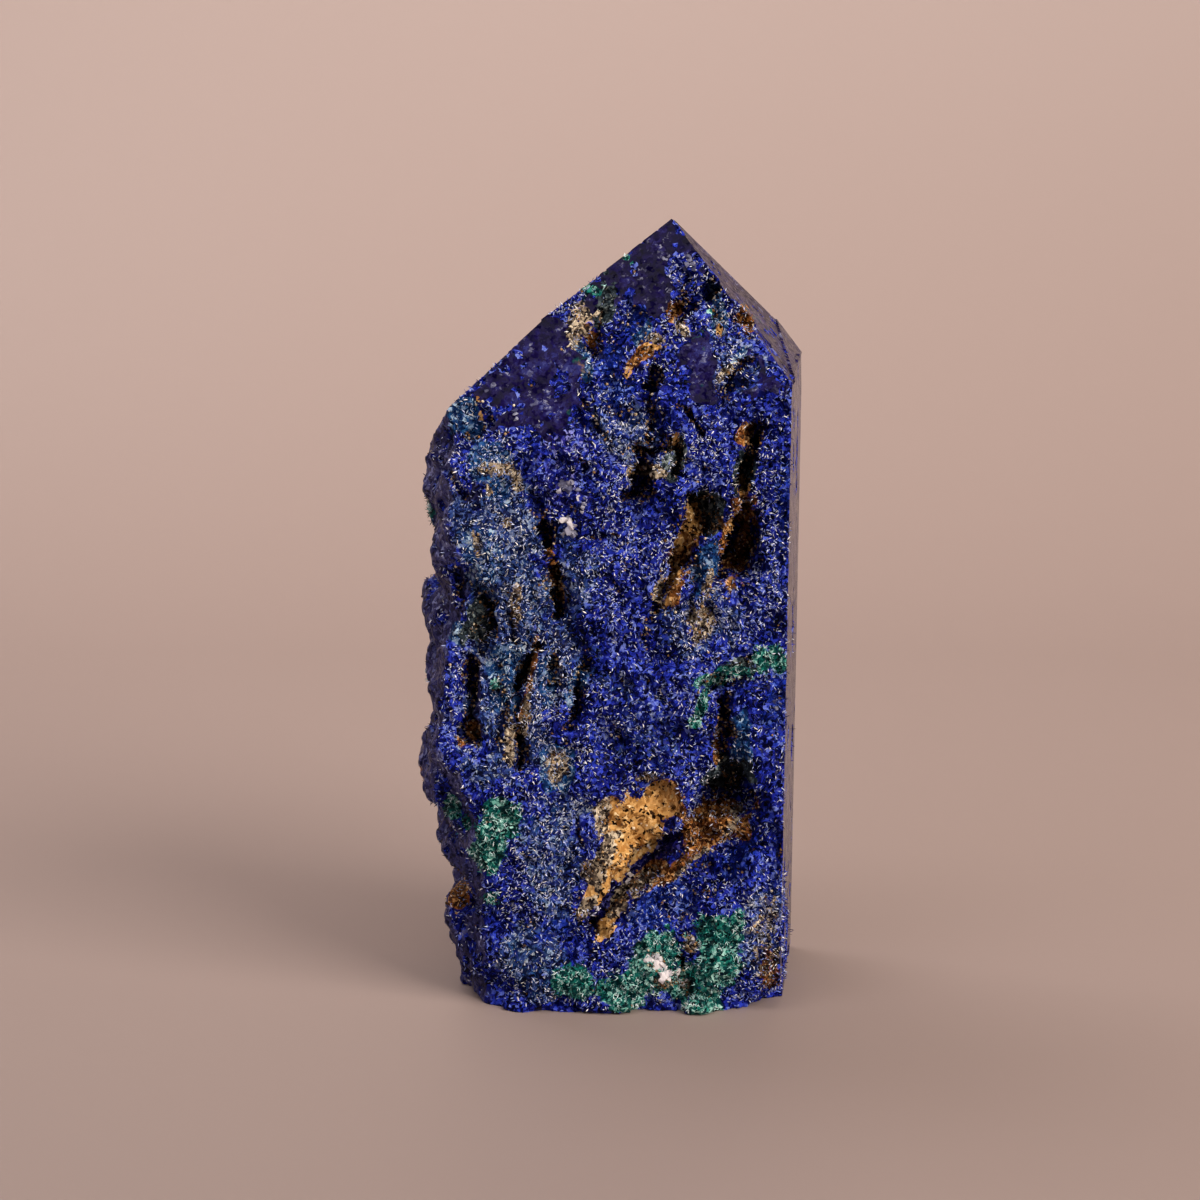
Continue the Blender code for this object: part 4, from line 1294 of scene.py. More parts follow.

# The crystals that stand on the ore: azurite, in places with a film of other minerals; each ramp's
# palest stops are painted glints
CRYSTALS = OreColours(
    ((0.0, "00011E"), (0.34, "040856"), (0.62, "1626A2"), (0.78, "364ECC"), (0.85, "8C9CDC"),
     (0.91, "CCD8EC"), (1.0, "F4F0E6")),
    (
        Tint(Mineral.DUST, ((0.0, "040620"), (0.34, "101E54"), (0.62, "284490"), (0.78, "4C6EB0"),
                            (0.86, "9CACC4"), (0.92, "D0D6D8"), (1.0, "F4EEE2"))),
        # The worn left side: partly painted shade of the side turned from the key lamp
        Tint(Mineral.FLANK, ((0.0, "12122E"), (0.5, "302F5C"), (0.85, "4C4D80"), (1.0, "8084B0"))),
        Tint(Mineral.TEAL, ((0.0, "020E30"), (0.35, "0A2862"), (0.68, "1A5094"), (0.86, "6C94BC"),
                            (1.0, "DCDCD0"))),
        Tint(Mineral.VELVET, ((0.0, "01042A"), (0.4, "06125E"), (0.74, "163298"), (0.88, "5C78C8"),
                              (1.0, "D4DEF4"))),
        Tint(Mineral.INDIGO, ((0.0, "020218"), (0.6, "0C0C50"), (0.9, "24228C"), (1.0, "A8A8D8"))),
        # Painted shade in the hollows and pockets
        Tint(Mineral.SHADE, ((0.0, "06080E"), (0.5, "1E2A34"), (0.85, "4C5860"), (1.0, "A09C88"))),
        Tint(Mineral.RUST, ((0.0, "120804"), (0.5, "583016"), (0.8, "A87238"), (1.0, "E0BC88"))),
        Tint(Mineral.CREAM, ((0.0, "120E18"), (0.3, "4C4440"), (0.6, "96866C"), (1.0, "E8DCC4")),
             0.7, 0.08),
    ))


@dataclass(frozen=True)
class RawOre:
    """Broken azurite ore: a crust of crystals a few tenths of a millimetre across.

    Each crystal has its own shade and its own tilt, so a few of them always catch the light.
    """

    roughness: float = 0.36
    ior: float = 1.76                    # azurite: 1.73 to 1.84
    specular: float = 0.04               # dusty pits between the crystals swallow much of the gloss
    crystal_mm: float = 0.34
    crinkle_mm: float = 0.26             # how far the crystals' outlines wander
    zone_mm: float = 5.0                 # how far it is from a darker zone to a paler one
    zone_share: float = 0.9              # how much of a crystal's tone its zone gives
    tilt: float = 1.0                    # how far a crystal's face leans off the surface

    def build(self) -> bpy.types.Material:
        """Make the material.

        Returns:
            The material.
        """
        material, tree, shader = start_material("raw_azurite_ore", {
            "IOR": self.ior, "Roughness": self.roughness, "Specular IOR Level": self.specular})
        place = add_wander(tree, add_millimetres(tree), 1.7, self.crinkle_mm)
        grain = add_node(tree, "ShaderNodeTexVoronoi",
                         {"Vector": place, "Scale": 1.0 / self.crystal_mm})
        own = add_node(tree, "ShaderNodeSeparateColor", {0: grain.outputs["Color"]}).outputs[0]
        tone = add_zones(tree, place, own, self.zone_mm, self.zone_share, self.zone_share / 2.0)
        colour = GROUND.layered(tree, own, tone, place)
        tree.links.new(colour, shader.inputs["Base Color"])
        tree.links.new(add_lean(tree, grain.outputs["Color"], self.tilt), shader.inputs["Normal"])
        return material


@dataclass(frozen=True)
class AzuriteDruse:
    """A crust of vitreous azurite blades, a few of them pale with painted glints."""

    roughness: float = 0.30
    ior: float = 1.76
    specular: float = 0.05               # the blades are dusty, and too small to mirror anything
    zone_mm: float = 4.0
    zone_share: float = 0.8
    zone_middle: float = 0.44            # a little over half the share, which darkens the crust

    def build(self) -> bpy.types.Material:
        """Make the material.

        Returns:
            The material.
        """
        material, tree, shader = start_material("azurite_druse", {
            "IOR": self.ior, "Roughness": self.roughness, "Specular IOR Level": self.specular})
        place = add_millimetres(tree)
        own = add_node(tree, "ShaderNodeAttribute", attribute_name="tone").outputs["Fac"]
        tone = add_zones(tree, place, own, self.zone_mm, self.zone_share, self.zone_middle, 3.0)
        tree.links.new(CRYSTALS.layered(tree, own, tone, place), shader.inputs["Base Color"])
        return material


@dataclass(frozen=True)
class Fragment:
    """Pale angular bits of other minerals that the polish cuts through."""

    size_mm: float
    rare: float                  # the higher, the fewer there are
    colour: str
    strength: float


@dataclass(frozen=True)
class PolishedOre:
    """Azurite ore that was sawn and polished: dark indigo grains, grey specks, and a gloss.

    The wheel cuts through every crystal, so the face shows them as flat angular grains.
    """

    roughness: tuple[float, float] = (0.09, 0.24)    # in the soundest ore and in the most porous
    ior: float = 1.76
    specular: float = 0.022
    grain_mm: float = 0.40
    grain_tilt: float = 0.15             # the grains differ in hardness, so the polish isn't flat
    grain_share: float = 0.16            # how much of the tone is a grain's own
    patch_mm: float = 1.5                # the size of the cloudy patches
    zone_mm: float = 7.0
    zone_share: float = 0.6
    darkening: float = 0.36
    grains: Stops = ((0.26, "030112"), (0.42, "09052A"), (0.53, "120B36"), (0.64, "1B154A"),
                     (0.78, "2E3270"), (0.92, "767EA8"))
    fragments: tuple[Fragment, ...] = (
        Fragment(0.26, 1.21, "9092A8", 0.80), Fragment(0.70, 1.23, "8084A0", 0.60),
        Fragment(1.20, 1.26, "70749C", 0.50))
    vein_mm: float = 11.0                # thin seams of the minerals that filled old cracks
    vein_width: float = 0.010
    vein: Stops = ((0.40, "123C40"), (0.50, "1C5448"), (0.58, "6C4C28"), (0.70, "9A7C54"))

    def build(self) -> bpy.types.Material:
        """Make the material.

        Returns:
            The material.
        """
        material, tree, shader = start_material("polished_azurite_ore", {
            "IOR": self.ior, "Specular IOR Level": self.specular})
        place = add_wander(tree, add_millimetres(tree), 2.2, 0.22)
        draw = add_node(tree, "ShaderNodeTexVoronoi", {
            "Vector": place, "Scale": 1.0 / self.grain_mm}).outputs["Color"]
        cloud = add_node(tree, "ShaderNodeTexNoise", {
            "Vector": place, "Scale": 1.0 / self.patch_mm, "Detail": 4.0,
            "Roughness": 0.62}).outputs[0]
        zone = add_node(tree, "ShaderNodeTexNoise", {
            "Vector": place, "Scale": 1.0 / self.zone_mm, "Detail": 2.0}).outputs[0]
        low, high = self.roughness
        porous = add_node(tree, "ShaderNodeMapRange", {
            "Value": cloud, "From Min": 0.40, "From Max": 0.62, "To Min": low, "To Max": high})
        tree.links.new(porous.outputs[0], shader.inputs["Roughness"])
        tree.links.new(add_lean(tree, draw, self.grain_tilt), shader.inputs["Normal"])
        colour = self.add_grains(tree, draw, cloud, zone)
        colour = self.add_fragments(tree, colour, place, cloud)
        tree.links.new(self.add_veins(tree, colour, place, cloud, zone),
                       shader.inputs["Base Color"])
        return material

    def add_grains(self, tree: bpy.types.NodeTree, draw: bpy.types.NodeSocket,
                   cloud: bpy.types.NodeSocket, zone: bpy.types.NodeSocket) -> bpy.types.NodeSocket:
        """Colour the azurite's grains.

        Args:
            tree: The material's tree.
            draw: Each grain's random numbers, as a colour.
            cloud: The noise of the cloudy patches.
            zone: The noise of the larger zones.

        Returns:
            The colour.
        """
        own = add_node(tree, "ShaderNodeSeparateColor", {0: draw})
        tone = add_node(tree, "ShaderNodeMath", {0: own.outputs[0], 1: self.grain_share, 2: cloud},
                        operation='MULTIPLY_ADD')
        tone = add_node(tree, "ShaderNodeMath", {0: zone, 1: self.zone_share, 2: tone.outputs[0]},
                        operation='MULTIPLY_ADD')
        tone = add_node(tree, "ShaderNodeMath", {0: tone.outputs[0], 1: self.darkening},
                        operation='SUBTRACT')
        return add_ramp(tree, tone.outputs[0], self.grains)

    def add_fragments(self, tree: bpy.types.NodeTree, colour: bpy.types.NodeSocket,
                      place: bpy.types.NodeSocket,
                      cloud: bpy.types.NodeSocket) -> bpy.types.NodeSocket:
        """Lay the pale fragments over the grains.

        Args:
            tree: The material's tree.
            colour: The grains' colour.
            place: The places, in millimetres.
            cloud: The noise of the cloudy patches, where fragments are more frequent.

        Returns:
            The colour.
        """
        for bit in self.fragments:
            cells = add_node(tree, "ShaderNodeTexVoronoi",
                             {"Vector": place, "Scale": 1.0 / bit.size_mm})
            chance = add_node(tree, "ShaderNodeSeparateColor", {0: cells.outputs["Color"]})
            rare = add_node(tree, "ShaderNodeMath", {0: cloud, 1: 0.5, 2: chance.outputs[0]},
                            operation='MULTIPLY_ADD')
            pale = add_node(tree, "ShaderNodeMapRange", {
                "Value": rare.outputs[0], "From Min": bit.rare, "From Max": bit.rare + 0.10,
                "To Max": bit.strength})
            colour = add_node(tree, "ShaderNodeMix", {
                MIX_FACTOR: pale.outputs[0], MIX_FIRST: colour,
                MIX_SECOND: linear(bit.colour)}, data_type='RGBA').outputs[MIX_RESULT]
        return colour

    def add_veins(self, tree: bpy.types.NodeTree, colour: bpy.types.NodeSocket,
                  place: bpy.types.NodeSocket, cloud: bpy.types.NodeSocket,
                  zone: bpy.types.NodeSocket) -> bpy.types.NodeSocket:
        """Lay the veins over all else.

        Args:
            tree: The material's tree.
            colour: The colour so far.
            place: The places, in millimetres.
            cloud: The noise of the cloudy patches, which colours them.
            zone: The noise of the larger zones, which breaks them off.

        Returns:
            The colour.
        """
        crack = add_node(tree, "ShaderNodeTexNoise", {
            "Vector": place, "Scale": 1.0 / self.vein_mm, "Detail": 4.0, "Roughness": 0.55})
        off = add_node(tree, "ShaderNodeMath", {0: crack.outputs[0], 1: 0.5}, operation='SUBTRACT')
        off = add_node(tree, "ShaderNodeMath", {0: off.outputs[0]}, operation='ABSOLUTE')
        seam = add_node(tree, "ShaderNodeMapRange", {
            "Value": off.outputs[0], "From Min": self.vein_width, "From Max": 0.0})
        broken = add_node(tree, "ShaderNodeMapRange", {
            "Value": zone, "From Min": 0.50, "From Max": 0.58, "To Max": 0.8})
        there = add_node(tree, "ShaderNodeMath", {0: seam.outputs[0], 1: broken.outputs[0]},
                         operation='MULTIPLY')
        return add_node(tree, "ShaderNodeMix", {
            MIX_FACTOR: there.outputs[0], MIX_FIRST: colour,
            MIX_SECOND: add_ramp(tree, cloud, self.vein)},
            data_type='RGBA').outputs[MIX_RESULT]


@dataclass(frozen=True)
class GrownGrains:
    """Small crystals that stand on the ore, each with its own tone."""

    name: str
    colours: Stops               # from the darkest tone to the palest
    roughness: float
    ior: float
    specular: float = 0.3
    zone_mm: float = 2.0                 # how far it is from a darker zone to a paler one
    zone_share: float = 0.0              # how much of a grain's tone its zone gives

    def build(self) -> bpy.types.Material:
        """Make the material.

        Returns:
            The material.
        """
        material, tree, shader = start_material(self.name, {
            "IOR": self.ior, "Roughness": self.roughness, "Specular IOR Level": self.specular})
        own = add_node(tree, "ShaderNodeAttribute", attribute_name="tone").outputs["Fac"]
        tone = add_zones(tree, add_millimetres(tree), own, self.zone_mm, self.zone_share,
                         self.zone_share / 2.0)
        tree.links.new(add_ramp(tree, tone, self.colours), shader.inputs["Base Color"])
        return material


# Malachite: silky green tufts whose palest tones are painted glints, IOR 1.66 to 1.91
MALACHITE_TUFTS = GrownGrains("malachite_tufts", (
    (0.0, "011016"), (0.4, "063E46"), (0.68, "1E8C80"), (0.80, "9CD6D0"), (1.0, "ECFAFA")),
    0.40, 1.75, 0.08, 2.2, 1.5)
# Limonite and clay: dull crumbs
LIMONITE_CRUMBS = GrownGrains("limonite_crumbs", (
    (0.0, "1A100A"), (0.35, "563C26"), (0.6, "946A3E"), (0.8, "B8986C"), (1.0, "E4D6B8")),
    0.8, 1.5, 0.1, 1.5, 0.9)
# Thin needles of azurite and cerussite, coloured pale as painted glints, IOR 1.8 to 2.1
PAINTED_GLINT_NEEDLES = GrownGrains("pale_needles", (
    (0.0, "5468BC"), (0.26, "90A2DC"), (0.56, "CAD4EE"), (1.0, "FCF8F2")), 0.35, 1.80, 0.10)
# Quartz: clear to milky pieces, IOR 1.54
QUARTZ_CHIPS = GrownGrains("quartz_chips", (
    (0.0, "3A3C60"), (0.5, "84869C"), (1.0, "E2DCDC")), 0.30, 1.54, 0.2, 0.7, 0.5)


class GrainShape(Enum):
    """The shapes that repeat on the ore."""

    BLADE = "blade"
    SPLINTER = "splinter"
    TUFT = "tuft"
    CRUMB = "crumb"


def add_needle(grain: bmesh.types.BMesh, radius: float, turn: Matrix) -> None:
    """Add a flat three-sided needle that stands on the origin.

    Args:
        grain: The mesh that it goes in.
        radius: Half its width, where its length is 1.
        turn: How it is turned.
    """
    corners = ((1.0, 0.0), (-0.5, 0.45), (-0.5, -0.45))
    low, high = ([grain.verts.new(turn @ Vector((x * radius * share, y * radius * share, z)))
                  for x, y in corners] for z, share in ((-0.35, 0.8), (0.6, 1.0)))
    tip = grain.verts.new(turn @ Vector((0.03, 0.01, 1.0)))
    for here in range(3):
        after = (here + 1) % 3
        grain.faces.new((low[here], low[after], high[after], high[here]))
        grain.faces.new((high[here], high[after], tip))
    grain.faces.new(list(reversed(low)))


def add_splinter(grain: bmesh.types.BMesh, radius: float) -> None:
    """Add a thin crystal that is pointed at both ends.

    Args:
        grain: The mesh that it is added to.
        radius: Half its width, where its length is about 1.
    """
    foot = grain.verts.new((0.0, 0.0, -0.3))
    tip = grain.verts.new((0.02, 0.0, 1.0))
    waist = [grain.verts.new((radius * math.cos(turn), radius * math.sin(turn), 0.4))
             for turn in (0.0, 2.2, 4.1)]
    for here, after in zip(waist, waist[1:] + waist[:1]):
        grain.faces.new((here, after, tip))
        grain.faces.new((after, here, foot))


def grain_mesh(shape: GrainShape) -> bpy.types.Mesh:
    """Make one grain, 1 mm tall, that stands on the origin along +Z.

    Args:
        shape: Which of the shapes.

    Returns:
        A mesh of a few dozen faces at most.
    """
    grain = bmesh.new()
    if shape is GrainShape.BLADE:
        add_needle(grain, 0.115, Matrix())
    elif shape is GrainShape.SPLINTER:
        add_splinter(grain, 0.165)
    elif shape is GrainShape.TUFT:
        for number in range(3):
            lean = Euler((math.radians(38.0), 0.0, math.radians(120.0 * number)))
            add_needle(grain, 0.11, lean.to_matrix().to_4x4())
    else:
        bmesh.ops.create_icosphere(grain, subdivisions=1, radius=0.5)
        for number, vert in enumerate(grain.verts):
            draw = lattice_random(np.array([[number, 4, 0]]), 4)[0]
            vert.co *= 0.7 + 0.6 * draw
            vert.co.z += 0.2
    grain.transform(Matrix.Scale(MM, 4))
    return finished_mesh(grain, shape.value)


@dataclass(frozen=True)
class Growth:
    """Grains of one kind that grow on the ore where an attribute says. Sizes in millimetres."""

    name: str
    where: str                   # the attribute that says how thickly they grow
    shape: GrainShape
    finish: GrownGrains | AzuriteDruse
    per_square_mm: float
    shortest: float
    longest: float
    tilt: float                  # how far they lean off the surface, in degrees
    seed: int

    INPUTS = (
        ("Density", "NodeSocketFloat"), ("Shortest", "NodeSocketFloat"),
        ("Longest", "NodeSocketFloat"), ("Tilt", "NodeSocketFloat"),
        ("Seed", "NodeSocketInt"), ("Where", "NodeSocketString"),
        ("Grain", "NodeSocketObject"), ("Finish", "NodeSocketMaterial"))

    @classmethod
    def tree(cls) -> bpy.types.NodeTree:
        """Build the tree that scatters grains over a surface, once for all growths.

        Returns:
            The tree.
        """
        found = bpy.data.node_groups.get("growth")
        if found:
            return found
        tree = bpy.data.node_groups.new("growth", 'GeometryNodeTree')
        face = tree.interface
        face.new_socket("Geometry", in_out='INPUT', socket_type="NodeSocketGeometry")
        for name, kind in cls.INPUTS:
            face.new_socket(name, in_out='INPUT', socket_type=kind)
        face.new_socket("Geometry", in_out='OUTPUT', socket_type="NodeSocketGeometry")
        given = add_node(tree, "NodeGroupInput").outputs
        cover = add_node(tree, "GeometryNodeInputNamedAttribute", {"Name": given["Where"]},
                         data_type='FLOAT')
        density = add_node(tree, "ShaderNodeMath",
                           {0: cover.outputs[0], 1: given["Density"]}, operation='MULTIPLY')
        points = add_node(tree, "GeometryNodeDistributePointsOnFaces", {
            "Mesh": given["Geometry"], "Density": density.outputs[0], "Seed": given["Seed"]})
        back = add_node(tree, "ShaderNodeMath", {0: given["Tilt"], 1: -1.0}, operation='MULTIPLY')
        least = add_node(tree, "ShaderNodeCombineXYZ", {0: back.outputs[0], 1: back.outputs[0]})
        most = add_node(tree, "ShaderNodeCombineXYZ", {
            0: given["Tilt"], 1: given["Tilt"], 2: 2.0 * math.pi})
        lean = add_node(tree, "FunctionNodeRandomValue", {
            0: least.outputs[0], 1: most.outputs[0], "Seed": given["Seed"]},
            data_type='FLOAT_VECTOR')
        turn = add_node(tree, "FunctionNodeEulerToRotation", {0: lean.outputs[0]})
        stand = add_node(tree, "FunctionNodeRotateRotation", {
            0: points.outputs["Rotation"], 1: turn.outputs[0]}, rotation_space='LOCAL')
        size = add_node(tree, "FunctionNodeRandomValue", {
            2: given["Shortest"], 3: given["Longest"], "Seed": given["Seed"]}, data_type='FLOAT')
        body = add_node(tree, "GeometryNodeObjectInfo", {"Object": given["Grain"]})
        grown = add_node(tree, "GeometryNodeInstanceOnPoints", {
            "Points": points.outputs["Points"], "Instance": body.outputs["Geometry"],
            "Rotation": stand.outputs[0], "Scale": size.outputs[1]})
        shade_of = add_node(tree, "FunctionNodeRandomValue", {2: 0.0, 3: 1.0, "Seed": 77},
                            data_type='FLOAT')
        toned = add_node(tree, "GeometryNodeStoreNamedAttribute", {
            "Geometry": grown.outputs[0], "Name": "tone", "Value": shade_of.outputs[1]},
            data_type='FLOAT', domain='INSTANCE')
        real = add_node(tree, "GeometryNodeRealizeInstances", {0: toned.outputs[0]})
        finished = add_node(tree, "GeometryNodeSetMaterial", {
            "Geometry": real.outputs[0], "Material": given["Finish"]})
        add_node(tree, "NodeGroupOutput", {"Geometry": finished.outputs[0]})
        return tree

    def build(self, ore: bpy.types.Object) -> bpy.types.Object:
        """Grow the grains on the ore.

        Args:
            ore: The stone, with its attributes.

        Returns:
            The grains, as one object.
        """
        tree = self.tree()
        grain = add_object("one_" + self.shape.value, grain_mesh(self.shape))
        host = add_object(self.name + "_host", ore.data)
        grow = host.modifiers.new("grow", 'NODES')
        values = {
            "Density": self.per_square_mm / MM ** 2, "Shortest": self.shortest,
            "Longest": self.longest, "Tilt": math.radians(self.tilt), "Seed": self.seed,
            "Where": self.where, "Grain": grain, "Finish": self.finish.build()}
        grow.node_group = tree
        for item in tree.interface.items_tree:
            if item.name in values:
                grow[item.identifier] = values[item.name]
        mesh = plain_mesh(host, self.name)
        host.modifiers.clear()
        bpy.data.objects.remove(host, do_unlink=True)
        bpy.data.objects.remove(grain, do_unlink=True)
        return add_object(self.name, mesh)


GROWTHS = (
    Growth("azurite_druse_upper", "druse_upper", GrainShape.BLADE, AzuriteDruse(),
           11.0, 0.24, 0.50, 65.0, 1),
    Growth("azurite_druse_lower", "druse_lower", GrainShape.BLADE, AzuriteDruse(),
           9.0, 0.24, 0.55, 65.0, 2),
    Growth("pale_needles", "glints", GrainShape.SPLINTER, PAINTED_GLINT_NEEDLES,
           9.0, 0.18, 0.48, 78.0, 5),
    Growth("malachite_tufts", "green_tufts", GrainShape.TUFT, MALACHITE_TUFTS,
           9.0, 0.20, 0.55, 55.0, 3),
    Growth("limonite_crumbs", "crumbs", GrainShape.CRUMB, LIMONITE_CRUMBS,
           5.0, 0.12, 0.36, 60.0, 4),
)


@dataclass(frozen=True)
class Chip:
    """One pale crystal on the front, in millimetres."""

    x: float
    z: float
    width: float
    height: float
    tone: float = 0.7


@dataclass(frozen=True)
class QuartzChips:
    """The few pale crystals that stand out singly on the front."""

    chips: tuple[Chip, ...] = (
        Chip(1.8, 12.6, 1.1, 1.1, 1.0), Chip(-1.6, 10.6, 1.0, 0.9, 0.6),
        Chip(1.6, 14.1, 0.8, 0.8, 0.3), Chip(3.7, 16.0, 0.6, 0.6, 0.9),
        Chip(-4.4, 50.0, 1.7, 2.2, 0.75), Chip(-3.3, 51.8, 1.0, 1.0, 0.6),
        Chip(-4.7, 54.1, 1.8, 1.6, 0.4), Chip(-3.2, 53.2, 0.9, 1.0, 0.7),
        Chip(-0.4, 51.4, 0.8, 1.4, 0.4), Chip(-2.6, 52.6, 0.8, 0.8, 0.5),
        Chip(0.3, 38.7, 1.6, 0.6, 0.6), Chip(7.8, 75.9, 1.2, 1.6, 0.2),
        Chip(4.4, 5.6, 2.2, 1.7, 1.0), Chip(5.8, 4.1, 2.3, 1.5, 1.0), Chip(5.0, 4.9, 1.2, 1.0, 0.9),
        Chip(7.2, 3.0, 1.2, 1.0, 0.9), Chip(-10.0, 1.6, 0.8, 1.4, 0.7),
        Chip(5.4, 76.3, 0.9, 0.9, 0.2), Chip(-9.6, 61.0, 0.9, 1.4, 0.2),
        Chip(-12.4, 63.4, 1.2, 1.0, 0.3), Chip(8.1, 7.4, 1.0, 0.8, 0.9),
        Chip(15.6, 11.4, 0.9, 1.6, 0.3), Chip(16.4, 32.0, 1.0, 1.4, 0.2))
    pieces_per_square_mm: float = 3.2
    least_pieces: int = 3
    piece_sizes: tuple[float, float] = (0.45, 0.85)    # against the whole cluster's smaller side
    flatness: float = 0.65
    corners: int = 9
    tone_spread: float = 0.30

    def add_piece(self, shape: bmesh.types.BMesh, place: Vector, normal: Vector, size: float,
                  tone: float, draw: np.random.Generator) -> None:
        """Add one angular piece, half sunk in the ore.

        Args:
            shape: The mesh that it goes in.
            place: Where it sits, in metres.
            normal: Which way is out there.
            size: How wide it is, in millimetres.
            tone: How pale it is, from 0 to 1.
            draw: Where its random numbers come from.
        """
        layer = shape.verts.layers.float["tone"]
        ball = draw.normal(size=(self.corners, 3))
        ball *= size / 2.0 / np.linalg.norm(ball, axis=1)[:, None]
        out = np.array(normal)
        ball -= (1.0 - self.flatness) * (ball @ out)[:, None] * out
        verts = [shape.verts.new(place + Vector(row) * MM) for row in ball]
        for vert in verts:
            vert[layer] = tone
        hull = bmesh.ops.convex_hull(shape, input=verts)
        bmesh.ops.delete(shape, geom=hull["geom_interior"], context='VERTS')

    def build(self, ore: bpy.types.Object) -> bpy.types.Object:
        """Set the crystals on the ore.

        Args:
            ore: The stone.

        Returns:
            The crystals, as one object.
        """
        tree = search_tree(ore.data)
        draw = np.random.default_rng(8)
        shape = bmesh.new()
        shape.verts.layers.float.new("tone")
        for chip in self.chips:
            pieces = round(self.pieces_per_square_mm * chip.width * chip.height)
            for _ in range(max(pieces, self.least_pieces)):
                right, up, size, tone = draw.uniform(-0.5, 0.5, 4)
                place, normal, _, _ = tree.ray_cast(
                    Vector((chip.x + right * 0.8 * chip.width, -40.0,
                            chip.z + up * 0.8 * chip.height)) * MM, Vector((0.0, 1.0, 0.0)))
                low, high = self.piece_sizes
                width = min(chip.width, chip.height) * (low + (high - low) * (size + 0.5))
                self.add_piece(shape, place, normal, width,
                               chip.tone + 2.0 * self.tone_spread * tone, draw)
        mesh = finished_mesh(shape, "quartz_chips")
        mesh.materials.append(QUARTZ_CHIPS.build())
        return add_object("quartz_chips", mesh)


@dataclass(frozen=True)
class Softbox:
    """A square lamp and what it shines at. Places are in metres."""

    name: str
    place: tuple[float, float, float]
    aim: tuple[float, float, float]
    size: float
    watts: float
    colour: str
    spread: float = 180.0        # how wide its beam is, in degrees


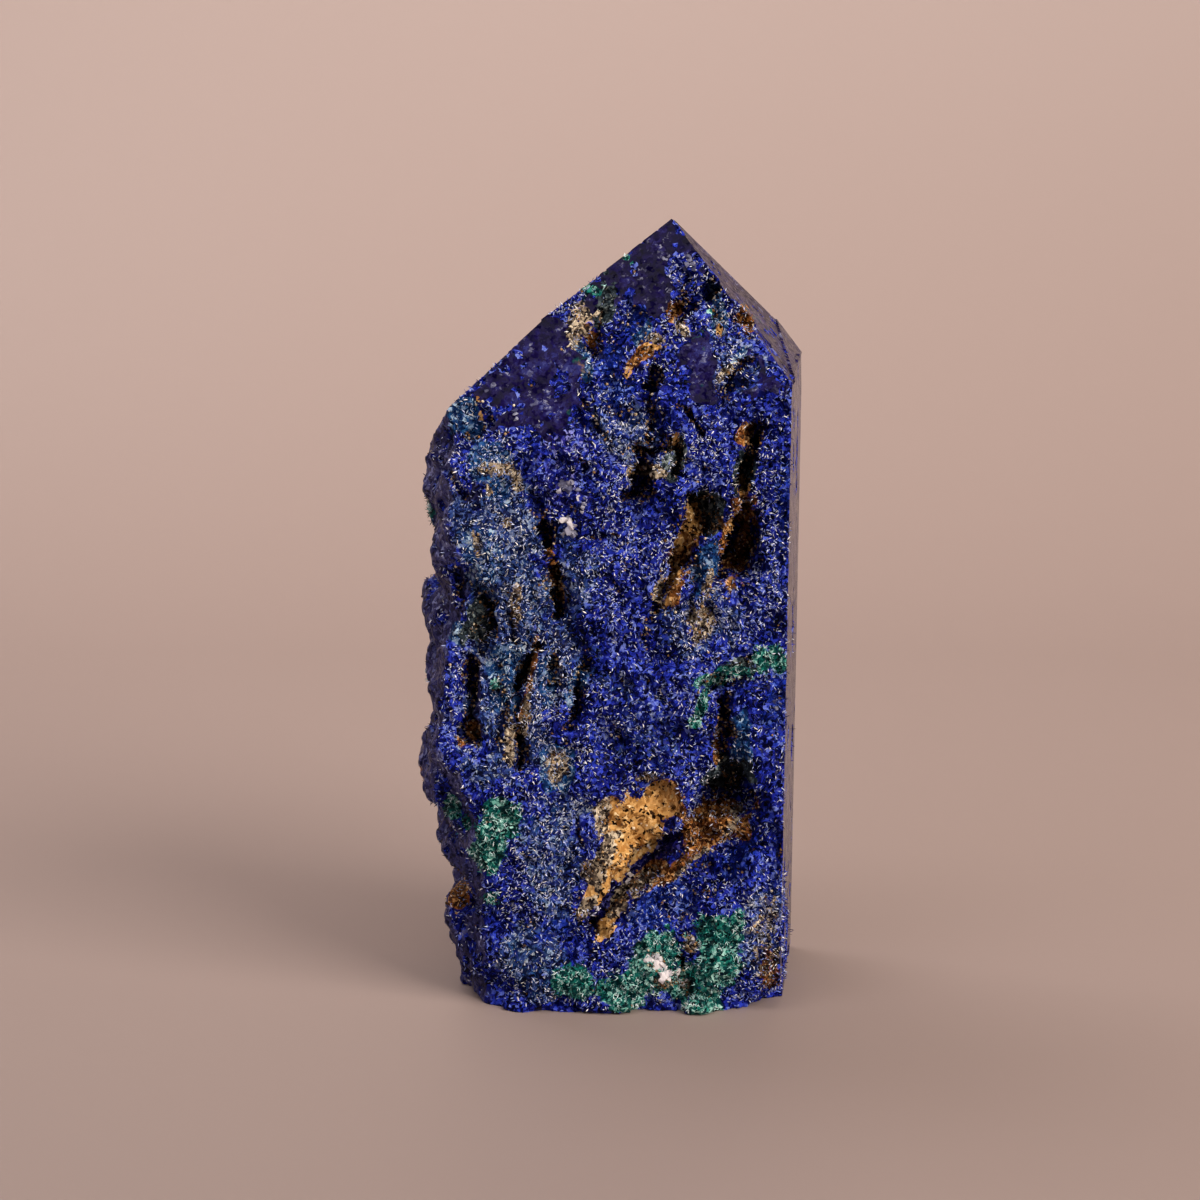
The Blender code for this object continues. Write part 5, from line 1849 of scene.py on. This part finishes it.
@dataclass(frozen=True)
class Studio:
    """A plain pale floor that rises to a round wall, soft lamps and the camera."""

    lens_mm: float = 74.88
    sensor_mm: float = 36.0
    camera_place: tuple[float, float, float] = (-0.0013, -0.2587, 0.0803)
    camera_down: float = 8.7                     # degrees
    sweep_colour: str = "9D8C85"
    sweep_roughness: float = 0.55
    sweep_middle: float = -0.50                  # the round wall stands about this place on Y
    sweep_floor: float = 0.70                    # how far from there the floor starts to rise
    sweep_bend: float = 0.24
    sweep_top: float = 0.90
    sweep_sides: int = 96
    world_colour: str = "C9B2A8"
    world_strength: float = 0.05
    lamps: tuple[Softbox, ...] = (
        Softbox("key", (0.46, -0.42, 0.34), (0.0, 0.0, 0.04), 0.42, 6.1, "FFF3EA"),
        Softbox("fill", (-0.50, -0.45, 0.30), (0.0, 0.0, 0.04), 0.60, 1.0, "E4E4F6"),
        Softbox("back", (-0.30, 0.34, 0.52), (0.0, 0.0, 0.04), 0.40, 2.3, "F6F0F0"),
        Softbox("wall", (-0.04, -0.10, 0.62), (0.0, 0.44, 0.20), 0.50, 1.5, "FFF3EC", 100.0),
    )

    def sweep(self) -> bpy.types.Object:
        """Make the floor and the wall as one turned sheet.

        Returns:
            The sheet.
        """
        line = [(0.0, 0.0), (self.sweep_floor, 0.0)]
        steps = 12
        for step in range(1, steps + 1):
            angle = math.pi / 2 * step / steps
            line.append((self.sweep_floor + self.sweep_bend * math.sin(angle),
                         self.sweep_bend * (1.0 - math.cos(angle))))
        line.append((self.sweep_floor + self.sweep_bend, self.sweep_top))
        shape = bmesh.new()
        profile = [shape.verts.new((reach, 0.0, height)) for reach, height in line]
        edges = [shape.edges.new(pair) for pair in zip(profile, profile[1:])]
        bmesh.ops.spin(shape, geom=profile + edges, cent=(0.0, 0.0, 0.0), axis=(0.0, 0.0, 1.0),
                       angle=math.tau, steps=self.sweep_sides, use_duplicate=False)
        bmesh.ops.remove_doubles(shape, verts=shape.verts[:], dist=0.01 * MM)
        bmesh.ops.translate(shape, verts=shape.verts[:], vec=(0.0, self.sweep_middle, 0.0))
        for face in shape.faces:
            face.smooth = True
            if face.normal.z < -0.5:
                face.normal_flip()
        mesh = finished_mesh(shape, "sweep")
        board, _, _ = start_material("painted_board", {
            "Base Color": linear(self.sweep_colour), "Roughness": self.sweep_roughness})
        mesh.materials.append(board)
        return add_object("sweep", mesh)

    def light(self) -> None:
        """Hang the lamps and tint the room."""
        for lamp in self.lamps:
            data = bpy.data.lights.new(lamp.name, 'AREA')
            data.energy = lamp.watts
            data.size = lamp.size
            data.spread = math.radians(lamp.spread)
            data.color = linear(lamp.colour)[:3]
            obj = bpy.data.objects.new(lamp.name, data)
            bpy.context.scene.collection.objects.link(obj)
            obj.location = lamp.place
            aim = Vector(lamp.aim) - obj.location
            obj.rotation_euler = aim.to_track_quat('-Z', 'Y').to_euler()
        world = bpy.data.worlds.new("room")
        world.use_nodes = True
        background = world.node_tree.nodes["Background"]
        background.inputs["Color"].default_value = linear(self.world_colour)
        background.inputs["Strength"].default_value = self.world_strength
        bpy.context.scene.world = world

    def camera(self) -> None:
        """Set the camera at the photograph's viewing angle."""
        data = bpy.data.cameras.new("camera")
        data.lens = self.lens_mm
        data.sensor_width = self.sensor_mm
        data.clip_start = 0.01
        obj = bpy.data.objects.new("camera", data)
        bpy.context.scene.collection.objects.link(obj)
        obj.location = self.camera_place
        obj.rotation_euler = Euler((math.radians(90.0 - self.camera_down), 0.0, 0.0))
        bpy.context.scene.camera = obj

    def build(self) -> None:
        """Set up the floor, the lamps and the camera."""
        self.sweep()
        self.light()
        self.camera()
        bpy.context.scene.view_settings.view_transform = 'Standard'


def report(piece: bpy.types.Object) -> None:
    """Log what a piece holds."""
    piece.data.calc_loop_triangles()
    log.info("%s: %d triangles", piece.name, len(piece.data.loop_triangles))


def main() -> None:
    """Build the stone and its setting, piece by piece."""
    logging.basicConfig(level=logging.INFO, format="%(name)s: %(message)s")
    Studio().build()
    ore = OreBody().build()
    grown = [growth.build(ore) for growth in GROWTHS]
    grown.append(QuartzChips().build(ore))
    for piece in (ore, *grown):
        report(piece)
        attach(piece, BODY)
    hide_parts(NODE)


if __name__ == "__main__":
    main()
